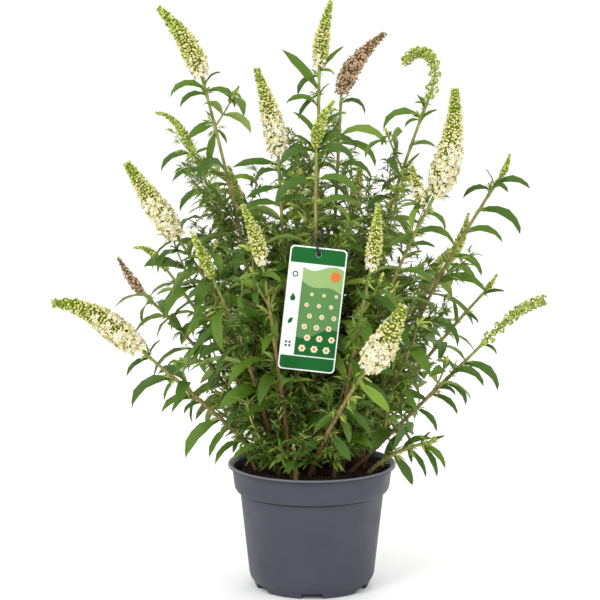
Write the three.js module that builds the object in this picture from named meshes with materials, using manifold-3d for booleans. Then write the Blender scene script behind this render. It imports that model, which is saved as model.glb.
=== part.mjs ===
// A white butterfly bush standing in its nursery pot, with a hanging label.
//
// Millimetres, +Z up. The origin is on the ground, at the axis of the pot.
// Every cane is a bare tapering stem that stands on the potting mix, and a mass of
// foliage that carries on from its tip: the leafy stem, side twigs, leaves and the
// flower spike, all fused into one solid that keeps to its own space.

import * as THREE from 'three';
import { mergeVertices } from 'three/addons/utils/BufferGeometryUtils.js';
import Module from 'manifold-3d';

const wasm = await Module();
wasm.setup();

// ---------------------------------------------------------------- driving dimensions

const GAP = 0.3;                 // clearance between pieces that rest on each other
const DEGREE = Math.PI / 180;
const UP = new THREE.Vector3(0, 0, 1);

const POT = {
  height: 147,
  lipRadius: 98.6,
  lipDepth: 3.8,
  lipInset: 3.4,                 // from the lip's edge to the opening
  lipEase: 0.6,
  bandRadius: 93.8,
  bandBottomRadius: 91.6,
  bandBottom: 123.2,
  bandTurn: [2.4, 4],            // how far its rounded underside comes in, and starts up
  shoulderRadius: 84.4,
  shoulder: 113.2,
  heelRadius: 73.7,
  heel: 15,
  heelTurn: 1.9,                 // how far the heel rounds in
  skirtRadius: 69.6,
  skirt: 8.4,                    // height of the foot ring
  footRadius: 66.6,
  footWidth: 3.4,
  floorUnder: 8.3,
  floorTop: 11,
  wall: 2.4,
  floorTurn: 3.6,                // how far the inside rounds in at the floor
  padRadius: 12,                 // centre pad under the floor, level with the feet
  notches: 6,
  notchWidth: 24,
  notchHeight: 6.4,
  notchDepth: 16,
  drainRadius: 4.5,
  drainCircle: 46,
  segments: 32,
};

const SOIL = {
  level: 139,                    // flat top round the canes
  flatRadius: 77,
  edgeDrop: 3,
  clearance: 0.42,               // from the pot's inside
  edgeClearance: 1,              // from the inside at the very edge of the top
};

const STOCK = { radius: 15, height: 20, sides: 8 };

const CANE = {
  footRadius: 2.8,
  neckRadius: 1.7,               // just below the flower spike
  sides: 5,
  ringSpacing: 48,
  bareShare: 0.3,                // share of the stem below the foliage
  bareMost: 95,
  twigSides: 4,                  // leaves spring from the flats of a square stem
  bow: 0.45,                     // how far up the stem its first lean carries
};

const LEAF = {
  length: 76,
  width: 20,
  thickness: 1.7,
  belly: 0.42,                   // widest point, as a share of the length
  spacing: 31.6,                 // between pairs along a stem
  aboveBare: 9,
  belowSpike: 6,
  swing: 0.3,                    // radians of scatter round the stem
  rise: 42,                      // degrees away from square to the stem
  droop: 92,                     // degrees it bends down along its length
  steepest: -82,                 // degrees, as far as a tip hangs
  margin: 0.45,                  // clearance from everything that it isn't fused to
  astray: 14,                    // how much nearer another cane may run than its own
  sizes: [1, 0.8, 0.62],         // tried in turn until one fits its space
};

const TWIG = {
  length: 40,
  footRadius: 1.5,
  tipRadius: 1.2,
  above: 6,                      // up the stem from the leaf whose axil it fills
  rise: 38,
  leafScale: 0.52,
  pairs: [0.55, 0.98],           // where its leaf pairs stand
  every: 3,                      // a twig at every third leaf pair
};

const FOLIAGE_SEED = 4201;

const SPIKE = {
  sides: 5,
  ringSpacing: 13,
  waist: 0.74,
  widest: 0.2,                   // share of the length where it is widest
  tip: 0.16,
};

const LABEL = {
  width: 64,
  height: 141,
  thickness: 0.8,
  corner: 5,
  holeRadius: 3,
  holeDepth: 8,                  // from the top edge to the hole's centre
  tilt: 6.3,                     // degrees, hanging askew
  caneDistance: 294,             // along the cane that carries it, to the tie
  drop: 28,                      // from the tie's loop down to the hole
  aside: 3.5,
  forward: 16,
  clearance: 2.2,
  berth: 7,                      // room kept free of leaves before and behind the card
};

const TIE = { radius: 0.7, sides: 3, steps: 26 };

// Heading is the compass angle of a cane's lean, 0 to the right and 90 to the back.
// Reach and rise place the foot of its flower spike. Lean is the stem's first angle
// from upright. The spike leans at its tip by nod degrees, towards turn. A cane whose
// foot isn't under its lean has the foot's own heading as from.
const TALL_CANES = [
  { name: 'tall_left', heading: 161, reach: 136, rise: 596, foot: 40, lean: 6,
    spike: 96, girth: 15, nod: 48, turn: 165, bloom: 'cream', from: 172, curl: 0.8 },
  { name: 'tall_middle', heading: 82, reach: 61, rise: 607, foot: 27, lean: 3,
    spike: 77, girth: 12, nod: 17, turn: 20, bloom: 'cream', curl: 0.6 },
  { name: 'faded_back', heading: 72, reach: 115, rise: 573, foot: 50, lean: 7,
    spike: 91, girth: 13.5, nod: 53, turn: 2, bloom: 'brown', curl: 0.5 },
  { name: 'cream_centre', heading: 158, reach: 42, rise: 505, foot: 27, lean: 1,
    spike: 104, girth: 15, nod: 20, turn: 193, bloom: 'white', curl: 0.5 },
  { name: 'bud_centre', heading: 273, reach: 76, rise: 522, foot: 27, lean: 9,
    spike: 56, girth: 9, nod: 42, turn: 342, bloom: 'green' },
  { name: 'hooked_right', heading: 14, reach: 140, rise: 572, foot: 30, lean: 5,
    spike: 98, girth: 8, nod: 154, turn: 180, bloom: 'green', curl: 1.6 },
  { name: 'white_right', heading: 345, reach: 144, rise: 465, foot: 36, lean: 6,
    spike: 123, girth: 18, nod: 2, turn: 180, bloom: 'white', from: 350, curl: 0.7 },
  { name: 'far_right', heading: 1, reach: 218, rise: 483, foot: 60, lean: 14,
    spike: 26, girth: 5.5, nod: 9, turn: 0, bloom: 'green' },
  { name: 'low_right', heading: 343, reach: 203, rise: 298, foot: 48, lean: 45,
    spike: 90, girth: 7.5, nod: 82, turn: 348, bloom: 'green', from: 337, curl: 2.8 },
  { name: 'small_right', heading: 21, reach: 222, rise: 337, foot: 54, lean: 32,
    spike: 25, girth: 5, nod: 30, turn: 20, bloom: 'green' },
  { name: 'green_right', heading: 37, reach: 209, rise: 368, foot: 50, lean: 20,
    spike: 65, girth: 8, nod: 9, turn: 10, bloom: 'green' },
  { name: 'white_left', heading: 184, reach: 156, rise: 414, foot: 30, lean: 12,
    spike: 105, girth: 16.5, nod: 33, turn: 185, bloom: 'white', curl: 0.6 },
  { name: 'curved_left', heading: 150, reach: 202, rise: 361, foot: 58, lean: 18,
    spike: 56, girth: 6.5, nod: 114, turn: 160, bloom: 'green', from: 152, curl: 2.6 },
  { name: 'brown_left', heading: 167, reach: 205, rise: 340, foot: 54, lean: 20,
    spike: 53, girth: 7.5, nod: 28, turn: 170, bloom: 'brown', curl: 0.5 },
  { name: 'white_low_left', heading: 197, reach: 206, rise: 292, foot: 42, lean: 45,
    spike: 115, girth: 18, nod: 94, turn: 188, bloom: 'white', from: 199, curl: 2.8 },
  { name: 'green_front_left', heading: 217, reach: 140, rise: 377, foot: 48, lean: 13,
    spike: 60, girth: 8, nod: 26, turn: 205, bloom: 'green' },
  { name: 'cream_front_left', heading: 242, reach: 120, rise: 397, foot: 50, lean: 12,
    spike: 70, girth: 10.5, nod: 30, turn: 205, bloom: 'cream' },
  { name: 'cream_front_right', heading: 300, reach: 129, rise: 392, foot: 50, lean: 14,
    spike: 72, girth: 10.5, nod: 1, turn: 300, bloom: 'cream' },
  { name: 'white_front', heading: 293, reach: 160, rise: 288, foot: 42, lean: 36,
    spike: 86, girth: 19, nod: 24, turn: 345, bloom: 'white', from: 265 },
  { name: 'curved_upper_left', heading: 144, reach: 177, rise: 504, foot: 44, lean: 5,
    spike: 72, girth: 7, nod: 94, turn: 163, bloom: 'green', from: 150, curl: 2.4 },
];

// The canes on the far side, alternately tall and short, fan over the rest of the circle.
const BACK = {
  count: 6,
  firstHeading: 48,
  lastHeading: 134,
  reach: [205, 120],
  rise: [330, 430],
  foot: [60, 36],
  lean: [26, 10],
  spike: [70, 60],
  girth: [10, 9.5],
  nod: [52, 24],
  bloom: ['green', 'cream'],
};

// Young leafy shoots at the rim of the pot, with a bud at the tip and no bare stem.
const SHOOTS = [
  { name: 'front', heading: 252, reach: 66, rise: 172, foot: 60, lean: 4,
    spike: 9, girth: 3, nod: 10, turn: 250, bloom: 'green' },
  { name: 'right', heading: 342, reach: 140, rise: 179, foot: 70, lean: 40,
    spike: 12, girth: 3.5, nod: 40, turn: 345, bloom: 'green' },
  { name: 'left', heading: 186, reach: 86, rise: 186, foot: 66, lean: 20,
    spike: 9, girth: 3, nod: 30, turn: 186, bloom: 'green' },
];

const COLOURS = {
  pot: { color: 0x565760, roughness: 0.45 },
  soil: { color: 0x2a1c14, roughness: 1 },
  wood: { color: 0x7a5a3c, roughness: 0.8 },
  leaf: { color: 0x4c7a2c, roughness: 0.6 },
  card: { color: 0xf2f4ee, roughness: 0.35 },
  tie: { color: 0x1c1c1c, roughness: 0.5 },
};

// ---------------------------------------------------------------- small helpers

// A repeatable stream of numbers from 0 to 1.
function seededRandom(seed) {
  let state = seed;
  return () => {
    state = (state + 0x6d2b79f5) | 0;
    let mixed = Math.imul(state ^ (state >>> 15), 1 | state);
    mixed = (mixed + Math.imul(mixed ^ (mixed >>> 7), 61 | mixed)) ^ mixed;
    return ((mixed ^ (mixed >>> 14)) >>> 0) / 4294967296;
  };
}

// The unit vector that leans away from upright, towards a heading (both in degrees).
function leaning(lean, heading) {
  const sine = Math.sin(lean * DEGREE);
  return new THREE.Vector3(
    sine * Math.cos(heading * DEGREE),
    sine * Math.sin(heading * DEGREE),
    Math.cos(lean * DEGREE),
  );
}

function place(radius, heading, z) {
  return new THREE.Vector3(
    radius * Math.cos(heading * DEGREE),
    radius * Math.sin(heading * DEGREE),
    z,
  );
}

function smooth(from, to, value) {
  return THREE.MathUtils.smoothstep(value, from, to);
}

// Turns one unit vector towards another by a share of the angle between them.
function turned(from, to, share) {
  const axis = new THREE.Vector3().crossVectors(from, to).normalize();
  return from.clone().applyAxisAngle(axis, from.angleTo(to) * share);
}

// ---------------------------------------------------------------- solids

// A closed geometry as a solid: shared corners merged, empty faces dropped.
function toSolid(geometry) {
  const bare = geometry.index ? geometry.clone() : mergeVertices(geometry);
  bare.deleteAttribute('normal');
  bare.deleteAttribute('uv');
  const merged = mergeVertices(bare, 1e-4);
  const index = merged.index.array;
  const triangles = [];
  for (let i = 0; i < index.length; i += 3) {
    const [a, b, c] = [index[i], index[i + 1], index[i + 2]];
    if (a !== b && b !== c && c !== a) triangles.push(a, b, c);
  }
  const position = new Float32Array(merged.attributes.position.array);
  if (enclosedVolume(position, triangles) < 0) triangles.reverse();
  const mesh = new wasm.Mesh({
    numProp: 3,
    vertProperties: position,
    triVerts: new Uint32Array(triangles),
  });
  return new wasm.Manifold(mesh);
}

function enclosedVolume(position, triangles) {
  const corner = (i) => new THREE.Vector3().fromArray(position, 3 * triangles[i]);
  let six = 0;
  for (let i = 0; i < triangles.length; i += 3) {
    six += corner(i).dot(corner(i + 1).cross(corner(i + 2)));
  }
  return six / 6;
}

// Joins solids and keeps the largest body, without loose scraps or sealed hollows.
function fused(solids) {
  const joined = wasm.Manifold.union(solids).simplify(0.02);
  const bodies = joined.decompose();
  return bodies.reduce((best, body) => (body.volume() > best.volume() ? body : best));
}

function toGeometry(solid) {
  const mesh = solid.getMesh();
  const geometry = new THREE.BufferGeometry();
  const position = new THREE.BufferAttribute(mesh.vertProperties, 3);
  geometry.setAttribute('position', position);
  geometry.setIndex(new THREE.BufferAttribute(mesh.triVerts, 1));
  geometry.computeVertexNormals();
  return geometry;
}

function lathe(outline, segments) {
  const points = outline.map(([radius, height]) => new THREE.Vector2(radius, height));
  return new THREE.LatheGeometry(points, segments).rotateX(Math.PI / 2);
}

// Lays a turned profile along a path. Each profile point is [radius, distance];
// path(distance) gives a point, a tangent and the section's width direction, and
// squash(distance) thins the section at right angles to that width.
function sweep(profile, sides, path, squash = () => 1) {
  const points = profile.map(([radius, distance]) => new THREE.Vector2(radius, distance));
  const geometry = new THREE.LatheGeometry(points, sides);
  const position = geometry.attributes.position;
  for (let i = 0; i < position.count; i += 1) {
    const distance = position.getY(i);
    const { point, tangent, side } = path(distance);
    const depth = new THREE.Vector3().crossVectors(side, tangent).normalize();
    const width = new THREE.Vector3().crossVectors(tangent, depth);
    point.addScaledVector(width, position.getX(i));
    point.addScaledVector(depth, -position.getZ(i) * squash(distance));
    position.setXYZ(i, point.x, point.y, point.z);
  }
  return toSolid(geometry);
}

// ---------------------------------------------------------------- canes

class Cane {
  constructor(spec, bareShare) {
    Object.assign(this, spec);
    this.root = place(this.foot, this.from ?? this.heading, SOIL.level + GAP);
    this.neck = place(this.reach, this.heading, this.rise);
    const stem = this.stemPoints();
    const points = stem.concat(this.spikePoints(stem));
    this.axis = new THREE.CatmullRomCurve3(points, false, 'centripetal');
    this.axis.arcLengthDivisions = 400;
    this.length = this.axis.getLength();
    this.stemLength = this.length - this.spike;
    this.bareLength = Math.min(bareShare * this.stemLength, CANE.bareMost);
    this.side = leaning(90, this.heading + 90);
    this.trace = this.axis.getSpacedPoints(36);
  }

  // The stem bows from its first lean towards the foot of the spike.
  stemPoints() {
    const span = this.root.distanceTo(this.neck);
    const knee = this.root.clone();
    knee.addScaledVector(leaning(this.lean, this.heading), span * CANE.bow);
    const bow = new THREE.QuadraticBezierCurve3(this.root, knee, this.neck);
    this.neckTangent = bow.getTangent(1);
    return bow.getPoints(10);
  }

  // The spike starts along the stem and turns towards its nod, late where it curls.
  spikePoints(stem) {
    const steps = 8;
    const point = stem[stem.length - 1].clone();
    const last = leaning(this.nod, this.turn);
    const points = [];
    for (let i = 0; i < steps; i += 1) {
      const share = ((i + 0.5) / steps) ** (this.curl ?? 1);
      const direction = turned(this.neckTangent, last, share);
      point.addScaledVector(direction, this.spike / steps);
      points.push(point.clone());
    }
    return points;
  }

  at(distance) {
    const share = THREE.MathUtils.clamp(distance / this.length, 0, 1);
    const point = this.axis.getPointAt(share);
    const tangent = this.axis.getTangentAt(share);
    point.addScaledVector(tangent, distance - share * this.length);
    return { point, tangent, side: this.side };
  }

  radiusAt(distance) {
    const share = Math.min(distance / this.stemLength, 1);
    return THREE.MathUtils.lerp(CANE.footRadius, CANE.neckRadius, share);
  }

  distanceTo(point) {
    return distanceToTrace(point, this.trace);
  }
}

function distanceToTrace(point, trace) {
  const line = new THREE.Line3();
  const nearest = new THREE.Vector3();
  let best = Infinity;
  for (let i = 1; i < trace.length; i += 1) {
    line.set(trace[i - 1], trace[i]);
    line.closestPointToPoint(point, true, nearest);
    best = Math.min(best, nearest.distanceToSquared(point));
  }
  return Math.sqrt(best);
}

function backCanes() {
  const canes = [];
  for (let i = 0; i < BACK.count; i += 1) {
    const kind = i % 2;
    const share = i / (BACK.count - 1);
    const heading = THREE.MathUtils.lerp(BACK.firstHeading, BACK.lastHeading, share);
    canes.push({
      name: `back_${i + 1}`,
      heading,
      turn: heading,
      reach: BACK.reach[kind],
      rise: BACK.rise[kind],
      foot: BACK.foot[kind],
      lean: BACK.lean[kind],
      spike: BACK.spike[kind],
      girth: BACK.girth[kind],
      nod: BACK.nod[kind],
      bloom: BACK.bloom[kind],
    });
  }
  return canes;
}

const canes = [...TALL_CANES, ...backCanes()].map((spec) => new Cane(spec, CANE.bareShare));
const shoots = SHOOTS.map((spec) => new Cane(spec, 0));
const everyStem = [...canes, ...shoots];

// A stem's rings between two distances, closed on its axis at both ends.
function stemProfile(cane, from, to) {
  const steps = Math.max(1, Math.round((to - from) / CANE.ringSpacing));
  const profile = [[0, from]];
  for (let i = 0; i <= steps; i += 1) {
    const distance = THREE.MathUtils.lerp(from, to, i / steps);
    profile.push([cane.radiusAt(distance), distance]);
  }
  profile.push([0, to]);
  return profile;
}

// A stretch of stem; one that starts at the foot is cut level with the soil.
function stemSolid(cane, from, to, sides) {
  const start = from > 0 ? from : -2 * CANE.footRadius;
  const stem = sweep(stemProfile(cane, start, to), sides, (distance) => cane.at(distance));
  return from > 0 ? stem : stem.trimByPlane([0, 0, 1], SOIL.level + GAP);
}

// ---------------------------------------------------------------- foliage

// The label's place: its plane, and the frame that it hangs in.
const labelCane = canes.find((cane) => cane.name === 'bud_centre');
const loopPoint = labelCane.at(LABEL.caneDistance).point;
const labelHole = new THREE.Vector3(
  loopPoint.x + LABEL.aside,
  loopPoint.y - LABEL.forward,
  loopPoint.z - LABEL.drop,
);
const labelFrame = new THREE.Matrix4()
  .makeTranslation(labelHole)
  .multiply(new THREE.Matrix4().makeRotationY(LABEL.tilt * DEGREE));
const labelInverse = labelFrame.clone().invert();
const labelBox = new THREE.Box3(
  new THREE.Vector3(-LABEL.width / 2, -LABEL.berth, LABEL.holeDepth - LABEL.height),
  new THREE.Vector3(LABEL.width / 2, LABEL.berth, LABEL.holeDepth),
);
const tieBox = new THREE.Box3().setFromPoints([labelHole, loopPoint]);

// Everything that has its place so far: { solid, box, node, knot }. Pieces of one knot
// are fused there, so they may touch.
const placed = [];

function claim(solid, node, knot) {
  placed.push({ solid, box: solid.boundingBox(), node, knot });
  return solid;
}

function boxesApart(one, two, margin) {
  return [0, 1, 2].some((axis) => {
    return one.min[axis] > two.max[axis] + margin || two.min[axis] > one.max[axis] + margin;
  });
}

function isClear(solid, node, knot) {
  const box = solid.boundingBox();
  return placed.every((other) => {
    const joined = other.node === node && (other.knot === knot || other.knot === 'stem');
    if (joined || boxesApart(box, other.box, LEAF.margin)) return true;
    return solid.minGap(other.solid, 2 * LEAF.margin) > LEAF.margin;
  });
}

function clearOfLabel(point) {
  const hung = point.clone().applyMatrix4(labelInverse);
  const room = LABEL.clearance;
  return labelBox.distanceToPoint(hung) > room && tieBox.distanceToPoint(point) > 3 * room;
}

// A cane's space is what lies nearer to it than to any other, give or take a little.
function inOwnSpace(cane, point) {
  const own = cane.distanceTo(point) - LEAF.astray;
  return clearOfLabel(point) && everyStem.every((other) => other.distanceTo(point) > own);
}

// A leaf springs out at an angle and bends down along an arc in an upright plane.
function leafPath(root, direction, length) {
  const lift = Math.asin(THREE.MathUtils.clamp(direction.z, -1, 1));
  const hang = Math.min(LEAF.droop * DEGREE, lift - LEAF.steepest * DEGREE);
  const bend = Math.max(hang, 0.1);
  const out = new THREE.Vector3(direction.x, direction.y, 0).normalize();
  const side = new THREE.Vector3().crossVectors(out, UP);
  return (distance) => {
    const angle = lift - (bend * distance) / length;
    const along = (length / bend) * (Math.sin(lift) - Math.sin(angle));
    const height = (length / bend) * (Math.cos(angle) - Math.cos(lift));
    const point = root.clone().addScaledVector(out, along).addScaledVector(UP, height);
    const tangent = out.clone().multiplyScalar(Math.cos(angle));
    tangent.addScaledVector(UP, Math.sin(angle));
    return { point, tangent, side };
  };
}

// The largest of the leaf sizes that fits the cane's space, or nothing.
function fittingLeaf(cane, knot, angle, scale) {
  const root = knot.point;
  const direction = springing(knot, angle, LEAF.rise);
  for (const size of LEAF.sizes) {
    const length = LEAF.length * scale * size;
    const path = leafPath(root, direction, length);
    const inside = [0, 0.35, 0.7, 1].every((share) => inOwnSpace(cane, path(share * length).point));
    if (inside) {
      const solid = leafSolid(path, length, LEAF.width * scale * Math.sqrt(size));
      if (isClear(solid, cane.name, knot.id)) return [claim(solid, cane.name, knot.id)];
    }
  }
  return [];
}

// Two opposite leaves, or as many of them as fit.
function leafPair(cane, knot, angle, scale) {
  return [angle, angle + Math.PI].flatMap((way) => fittingLeaf(cane, knot, way, scale));
}

// A three-edged blade, keel down, that narrows to a point at both ends.
function leafSolid(path, length, width) {
  const belly = width / Math.sqrt(3);
  const slim = LEAF.thickness / (1.5 * belly);
  return sweep([[0, 0], [belly, LEAF.belly * length], [0, length]], 3, path, () => slim);
}

// The direction of a leaf or twig that leaves a stem at an angle round it.
function springing({ tangent, side }, angle, rise) {
  const depth = new THREE.Vector3().crossVectors(side, tangent).normalize();
  const width = new THREE.Vector3().crossVectors(tangent, depth);
  const out = width.multiplyScalar(Math.cos(angle)).addScaledVector(depth, Math.sin(angle));
  out.multiplyScalar(Math.cos(rise * DEGREE));
  return out.addScaledVector(tangent, Math.sin(rise * DEGREE)).normalize();
}

// Leaves shrink towards the flower spike.
function leafScale(cane, distance) {
  const share = distance / cane.stemLength;
  return 1 - 0.5 * smooth(0.62, 1, share);
}

// A short side twig with two pairs of small leaves.
function twig(cane, knot, angle) {
  const direction = springing(knot, angle, 90 - TWIG.rise);
  const side = new THREE.Vector3().crossVectors(direction, UP).normalize();
  const path = (distance) => ({
    point: knot.point.clone().addScaledVector(direction, distance),
    tangent: direction.clone(),
    side,
    id: knot.id,
  });
  const profile = [
    [0, 0],
    [TWIG.footRadius, 0.1],
    [TWIG.tipRadius, TWIG.length],
    [0, TWIG.length + 0.5],
  ];
  const stalk = sweep(profile, CANE.twigSides, path);
  if (!inOwnSpace(cane, path(TWIG.length).point)) return [];
  if (!isClear(stalk, cane.name, knot.id)) return [];
  const leaves = TWIG.pairs.flatMap((share, pair) => {
    return leafPair(cane, path(share * TWIG.length), flat(pair), TWIG.leafScale);
  });
  return leaves.length > 0 ? [claim(stalk, cane.name, knot.id), ...leaves] : [];
}

// The angle of one of the flats of a square stem.
function flat(number) {
  return Math.PI / 4 + (number * Math.PI) / 2;
}

// The knots up a stem where leaves spring, each pair a quarter turn from the last.
function leafKnots(cane, random) {
  const knots = [];
  const last = cane.stemLength - LEAF.belowSpike;
  let at = cane.bareLength + LEAF.aboveBare;
  for (let pair = 0; at < last; pair += 1) {
    knots.push({
      cane,
      at,
      pair,
      id: `${cane.name} ${pair}`,
      angle: flat(pair) + (random() - 0.5) * LEAF.swing,
      scale: leafScale(cane, at) * (0.9 + 0.2 * random()),
      twigSide: random() < 0.5 ? 0 : 2,
      turn: random(),
    });
    at += LEAF.spacing * (0.9 + 0.2 * random());
  }
  return knots;
}

// All the leaves grow knot by knot in a shuffled order, so that no cane crowds another.
function growLeaves(random) {
  const knots = everyStem.flatMap((cane) => leafKnots(cane, random));
  knots.sort((one, two) => one.turn - two.turn);
  const pieces = new Map(everyStem.map((cane) => [cane.name, []]));
  const grow = (knot, solids) => pieces.get(knot.cane.name).push(...solids);
  for (const knot of knots) {
    const site = { ...knot.cane.at(knot.at), id: knot.id };
    grow(knot, leafPair(knot.cane, site, knot.angle, knot.scale));
  }
  for (const knot of knots.filter(({ pair }) => pair % TWIG.every === 1)) {
    const site = { ...knot.cane.at(knot.at + TWIG.above), id: knot.id };
    grow(knot, twig(knot.cane, site, flat(knot.pair + knot.twigSide)));
  }
  return pieces;
}

// A flower spike swells from the stem to its widest whorl and narrows to the tip.
function spikeProfile(cane) {
  const rings = Math.max(3, Math.round(cane.spike / SPIKE.ringSpacing));
  const foot = cane.stemLength - 2;
  const profile = [[0, foot - 1], [cane.radiusAt(foot) + 0.3, foot]];
  for (let i = 0; i < rings; i += 1) {
    const share = (i + 0.5) / rings;
    const swell = 0.7 + 0.3 * smooth(0, SPIKE.widest, share);
    const taper = THREE.MathUtils.lerp(1, SPIKE.tip, smooth(SPIKE.widest, 1.25, share));
    const whorl = i % 2 === 0 ? 1 : SPIKE.waist;
    profile.push([cane.girth * swell * taper * whorl, cane.stemLength + share * cane.spike]);
  }
  profile.push([0, cane.length]);
  return profile;
}

// The leafy stem of one cane and its spike.
function leafyStem(cane) {
  const start = cane.bareLength > 0 ? cane.bareLength + GAP : 0;
  const stem = stemSolid(cane, start, cane.stemLength, CANE.twigSides);
  const spike = sweep(spikeProfile(cane), SPIKE.sides, (distance) => cane.at(distance));
  return [claim(stem, cane.name, 'stem'), claim(spike, cane.name, 'spike')];
}

// ---------------------------------------------------------------- pot and soil

function potOutline() {
  const p = POT;
  return [
    [0, 0],
    [p.padRadius, 0],
    [p.padRadius + 0.6, p.floorUnder],
    [p.footRadius - p.footWidth - 0.4, p.floorUnder],
    [p.footRadius - p.footWidth, 0],
    [p.footRadius, 0],
    [p.skirtRadius, p.skirt],
    [p.heelRadius - p.heelTurn, p.skirt + p.heelTurn],
    [p.heelRadius, p.heel],
    [p.shoulderRadius, p.shoulder],
    [p.bandBottomRadius - p.bandTurn[0], p.shoulder + p.bandTurn[1]],
    [p.bandBottomRadius, p.bandBottom],
    [p.bandRadius, p.height - p.lipDepth],
    [p.lipRadius, p.height - p.lipDepth + p.lipEase],
    [p.lipRadius, p.height - p.lipEase],
    [p.lipRadius - p.lipEase, p.height],
    [p.lipRadius - p.lipInset, p.height],
    ...potInside().reverse(),
  ];
}

// The inner wall, from the floor's centre to the opening.
function potInside() {
  const p = POT;
  return [
    [0, p.floorTop],
    [p.heelRadius - p.wall - p.floorTurn, p.floorTop],
    [p.heelRadius - p.wall, p.heel],
    [p.shoulderRadius - p.wall, p.shoulder],
    [p.bandBottomRadius - p.bandTurn[0] - p.wall, p.shoulder + p.bandTurn[1]],
    [p.bandBottomRadius - p.wall, p.bandBottom],
    [p.bandRadius - p.wall, p.height - p.lipDepth],
  ];
}

function potSolid() {
  const cuts = [];
  for (let i = 0; i < POT.notches; i += 1) {
    const heading = -90 + (360 / POT.notches) * i;
    cuts.push(toSolid(notchCutter(heading)), toSolid(drainCutter(heading)));
  }
  return toSolid(lathe(potOutline(), POT.segments)).subtract(wasm.Manifold.union(cuts));
}

// A notch through the foot ring, open at the ground.
function notchCutter(heading) {
  const box = new THREE.BoxGeometry(POT.notchDepth, POT.notchWidth, POT.notchHeight * 2);
  box.translate(POT.footRadius - POT.footWidth / 2, 0, 0);
  return box.rotateZ(heading * DEGREE);
}

function drainCutter(heading) {
  const pin = new THREE.CylinderGeometry(POT.drainRadius, POT.drainRadius, 10, 8);
  pin.rotateX(Math.PI / 2).translate(POT.drainCircle, 0, POT.floorTop - 2);
  return pin.rotateZ(heading * DEGREE);
}

// The potting mix fills the pot up to a flat top, a little below the lip.
function soilSolid() {
  const { clearance, edgeClearance } = SOIL;
  const wall = potInside()
    .slice(1, -1)
    .map(([radius, z]) => [radius - clearance, z]);
  wall[0][1] += clearance;
  const outline = [
    [0, POT.floorTop + clearance],
    ...wall,
    [POT.bandRadius - POT.wall - edgeClearance, SOIL.level - SOIL.edgeDrop],
    [SOIL.flatRadius, SOIL.level],
    [0, SOIL.level],
  ];
  return toSolid(lathe(outline, POT.segments));
}

// The woody knuckle that the oldest canes were cut back to.
function rootstock() {
  const base = SOIL.level + GAP;
  const outline = [
    [0, base],
    [STOCK.radius, base],
    [STOCK.radius * 0.86, base + STOCK.height * 0.35],
    [STOCK.radius * 0.94, base + STOCK.height * 0.62],
    [STOCK.radius * 0.6, base + STOCK.height * 0.95],
    [0, base + STOCK.height],
  ];
  return toSolid(lathe(outline, STOCK.sides));
}

// ---------------------------------------------------------------- label and tie

function labelCard() {
  const { width, height, corner, holeDepth } = LABEL;
  const [left, right] = [-width / 2, width / 2];
  const [bottom, top] = [holeDepth - height, holeDepth];
  const outline = new THREE.Shape();
  outline.absarc(right - corner, bottom + corner, corner, -Math.PI / 2, 0);
  outline.absarc(right - corner, top - corner, corner, 0, Math.PI / 2);
  outline.absarc(left + corner, top - corner, corner, Math.PI / 2, Math.PI);
  outline.absarc(left + corner, bottom + corner, corner, Math.PI, Math.PI * 1.5);
  const hole = new THREE.Path();
  hole.absarc(0, 0, LABEL.holeRadius, 0, Math.PI * 2, true);
  outline.holes.push(hole);
  const options = { depth: LABEL.thickness, curveSegments: 3, bevelEnabled: false };
  const card = new THREE.ExtrudeGeometry(outline, options);
  card.translate(0, 0, -LABEL.thickness / 2).rotateX(Math.PI / 2);
  return toSolid(card.applyMatrix4(labelFrame));
}

// The tie runs from behind the card through its hole, up over its top edge, round the
// cane and back down to where it began. Its points stand off from the top of the hole
// or from the cane's axis, by the wire's own berth or by the slack of a loose twist.
function labelTie() {
  const hang = LABEL.holeRadius * 0.86 - TIE.radius - 2 * GAP;
  const hole = labelHole.clone().addScaledVector(UP, hang);
  const cane = loopPoint;
  const clear = labelCane.radiusAt(LABEL.caneDistance) + TIE.radius + 2 * GAP;
  const off = LABEL.thickness / 2 + TIE.radius + GAP;
  const near = (from, x, y, z) => new THREE.Vector3(from.x + x, from.y + y, from.z + z);
  const route = new THREE.CatmullRomCurve3([
    near(hole, 1.6, off + 1, 2.4),
    near(hole, 0.2, off * 0.4, 0),
    near(hole, 0, -off * 0.6, 0),
    near(hole, -1, -off - 0.9, 4),
    near(hole, -2.4, -off - 0.4, LABEL.holeDepth + 3),
    near(cane, -clear - 1, -clear * 0.4, -2),
    near(cane, -clear * 0.75, clear * 0.75, 0),
    near(cane, clear * 0.75, clear * 0.75, 0),
    near(cane, clear + 1.6, -clear * 0.6, -3),
    near(hole, 4.6, off + 2.4, LABEL.holeDepth + 3),
    near(hole, 3.6, off + 1.6, 4.6),
  ], false, 'centripetal');
  const section = new THREE.Shape();
  section.absarc(0, 0, TIE.radius, 0, Math.PI * 2);
  const options = {
    extrudePath: route,
    steps: TIE.steps,
    curveSegments: TIE.sides,
    bevelEnabled: false,
  };
  return toSolid(new THREE.ExtrudeGeometry(section, options));
}

// ---------------------------------------------------------------- assembly

const bush = new THREE.Group();

function addNode(name, solid, finish) {
  const material = new THREE.MeshStandardMaterial({ metalness: 0, ...finish });
  const mesh = new THREE.Mesh(toGeometry(solid), material);
  mesh.name = name;
  bush.add(mesh);
}

const fixed = {
  pot: claim(potSolid(), 'pot', 'pot'),
  soil: claim(soilSolid(), 'soil', 'soil'),
  stock: claim(rootstock(), 'stock', 'stock'),
  tie: claim(labelTie(), 'tie', 'tie'),
  card: claim(labelCard(), 'card', 'card'),
};
const bareStems = canes.map((cane) => {
  const stem = stemSolid(cane, 0, cane.bareLength, CANE.sides);
  return claim(stem, `bare ${cane.name}`, 'stem');
});
const leafyStems = everyStem.map(leafyStem);
const leaves = growLeaves(seededRandom(FOLIAGE_SEED));

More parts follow.
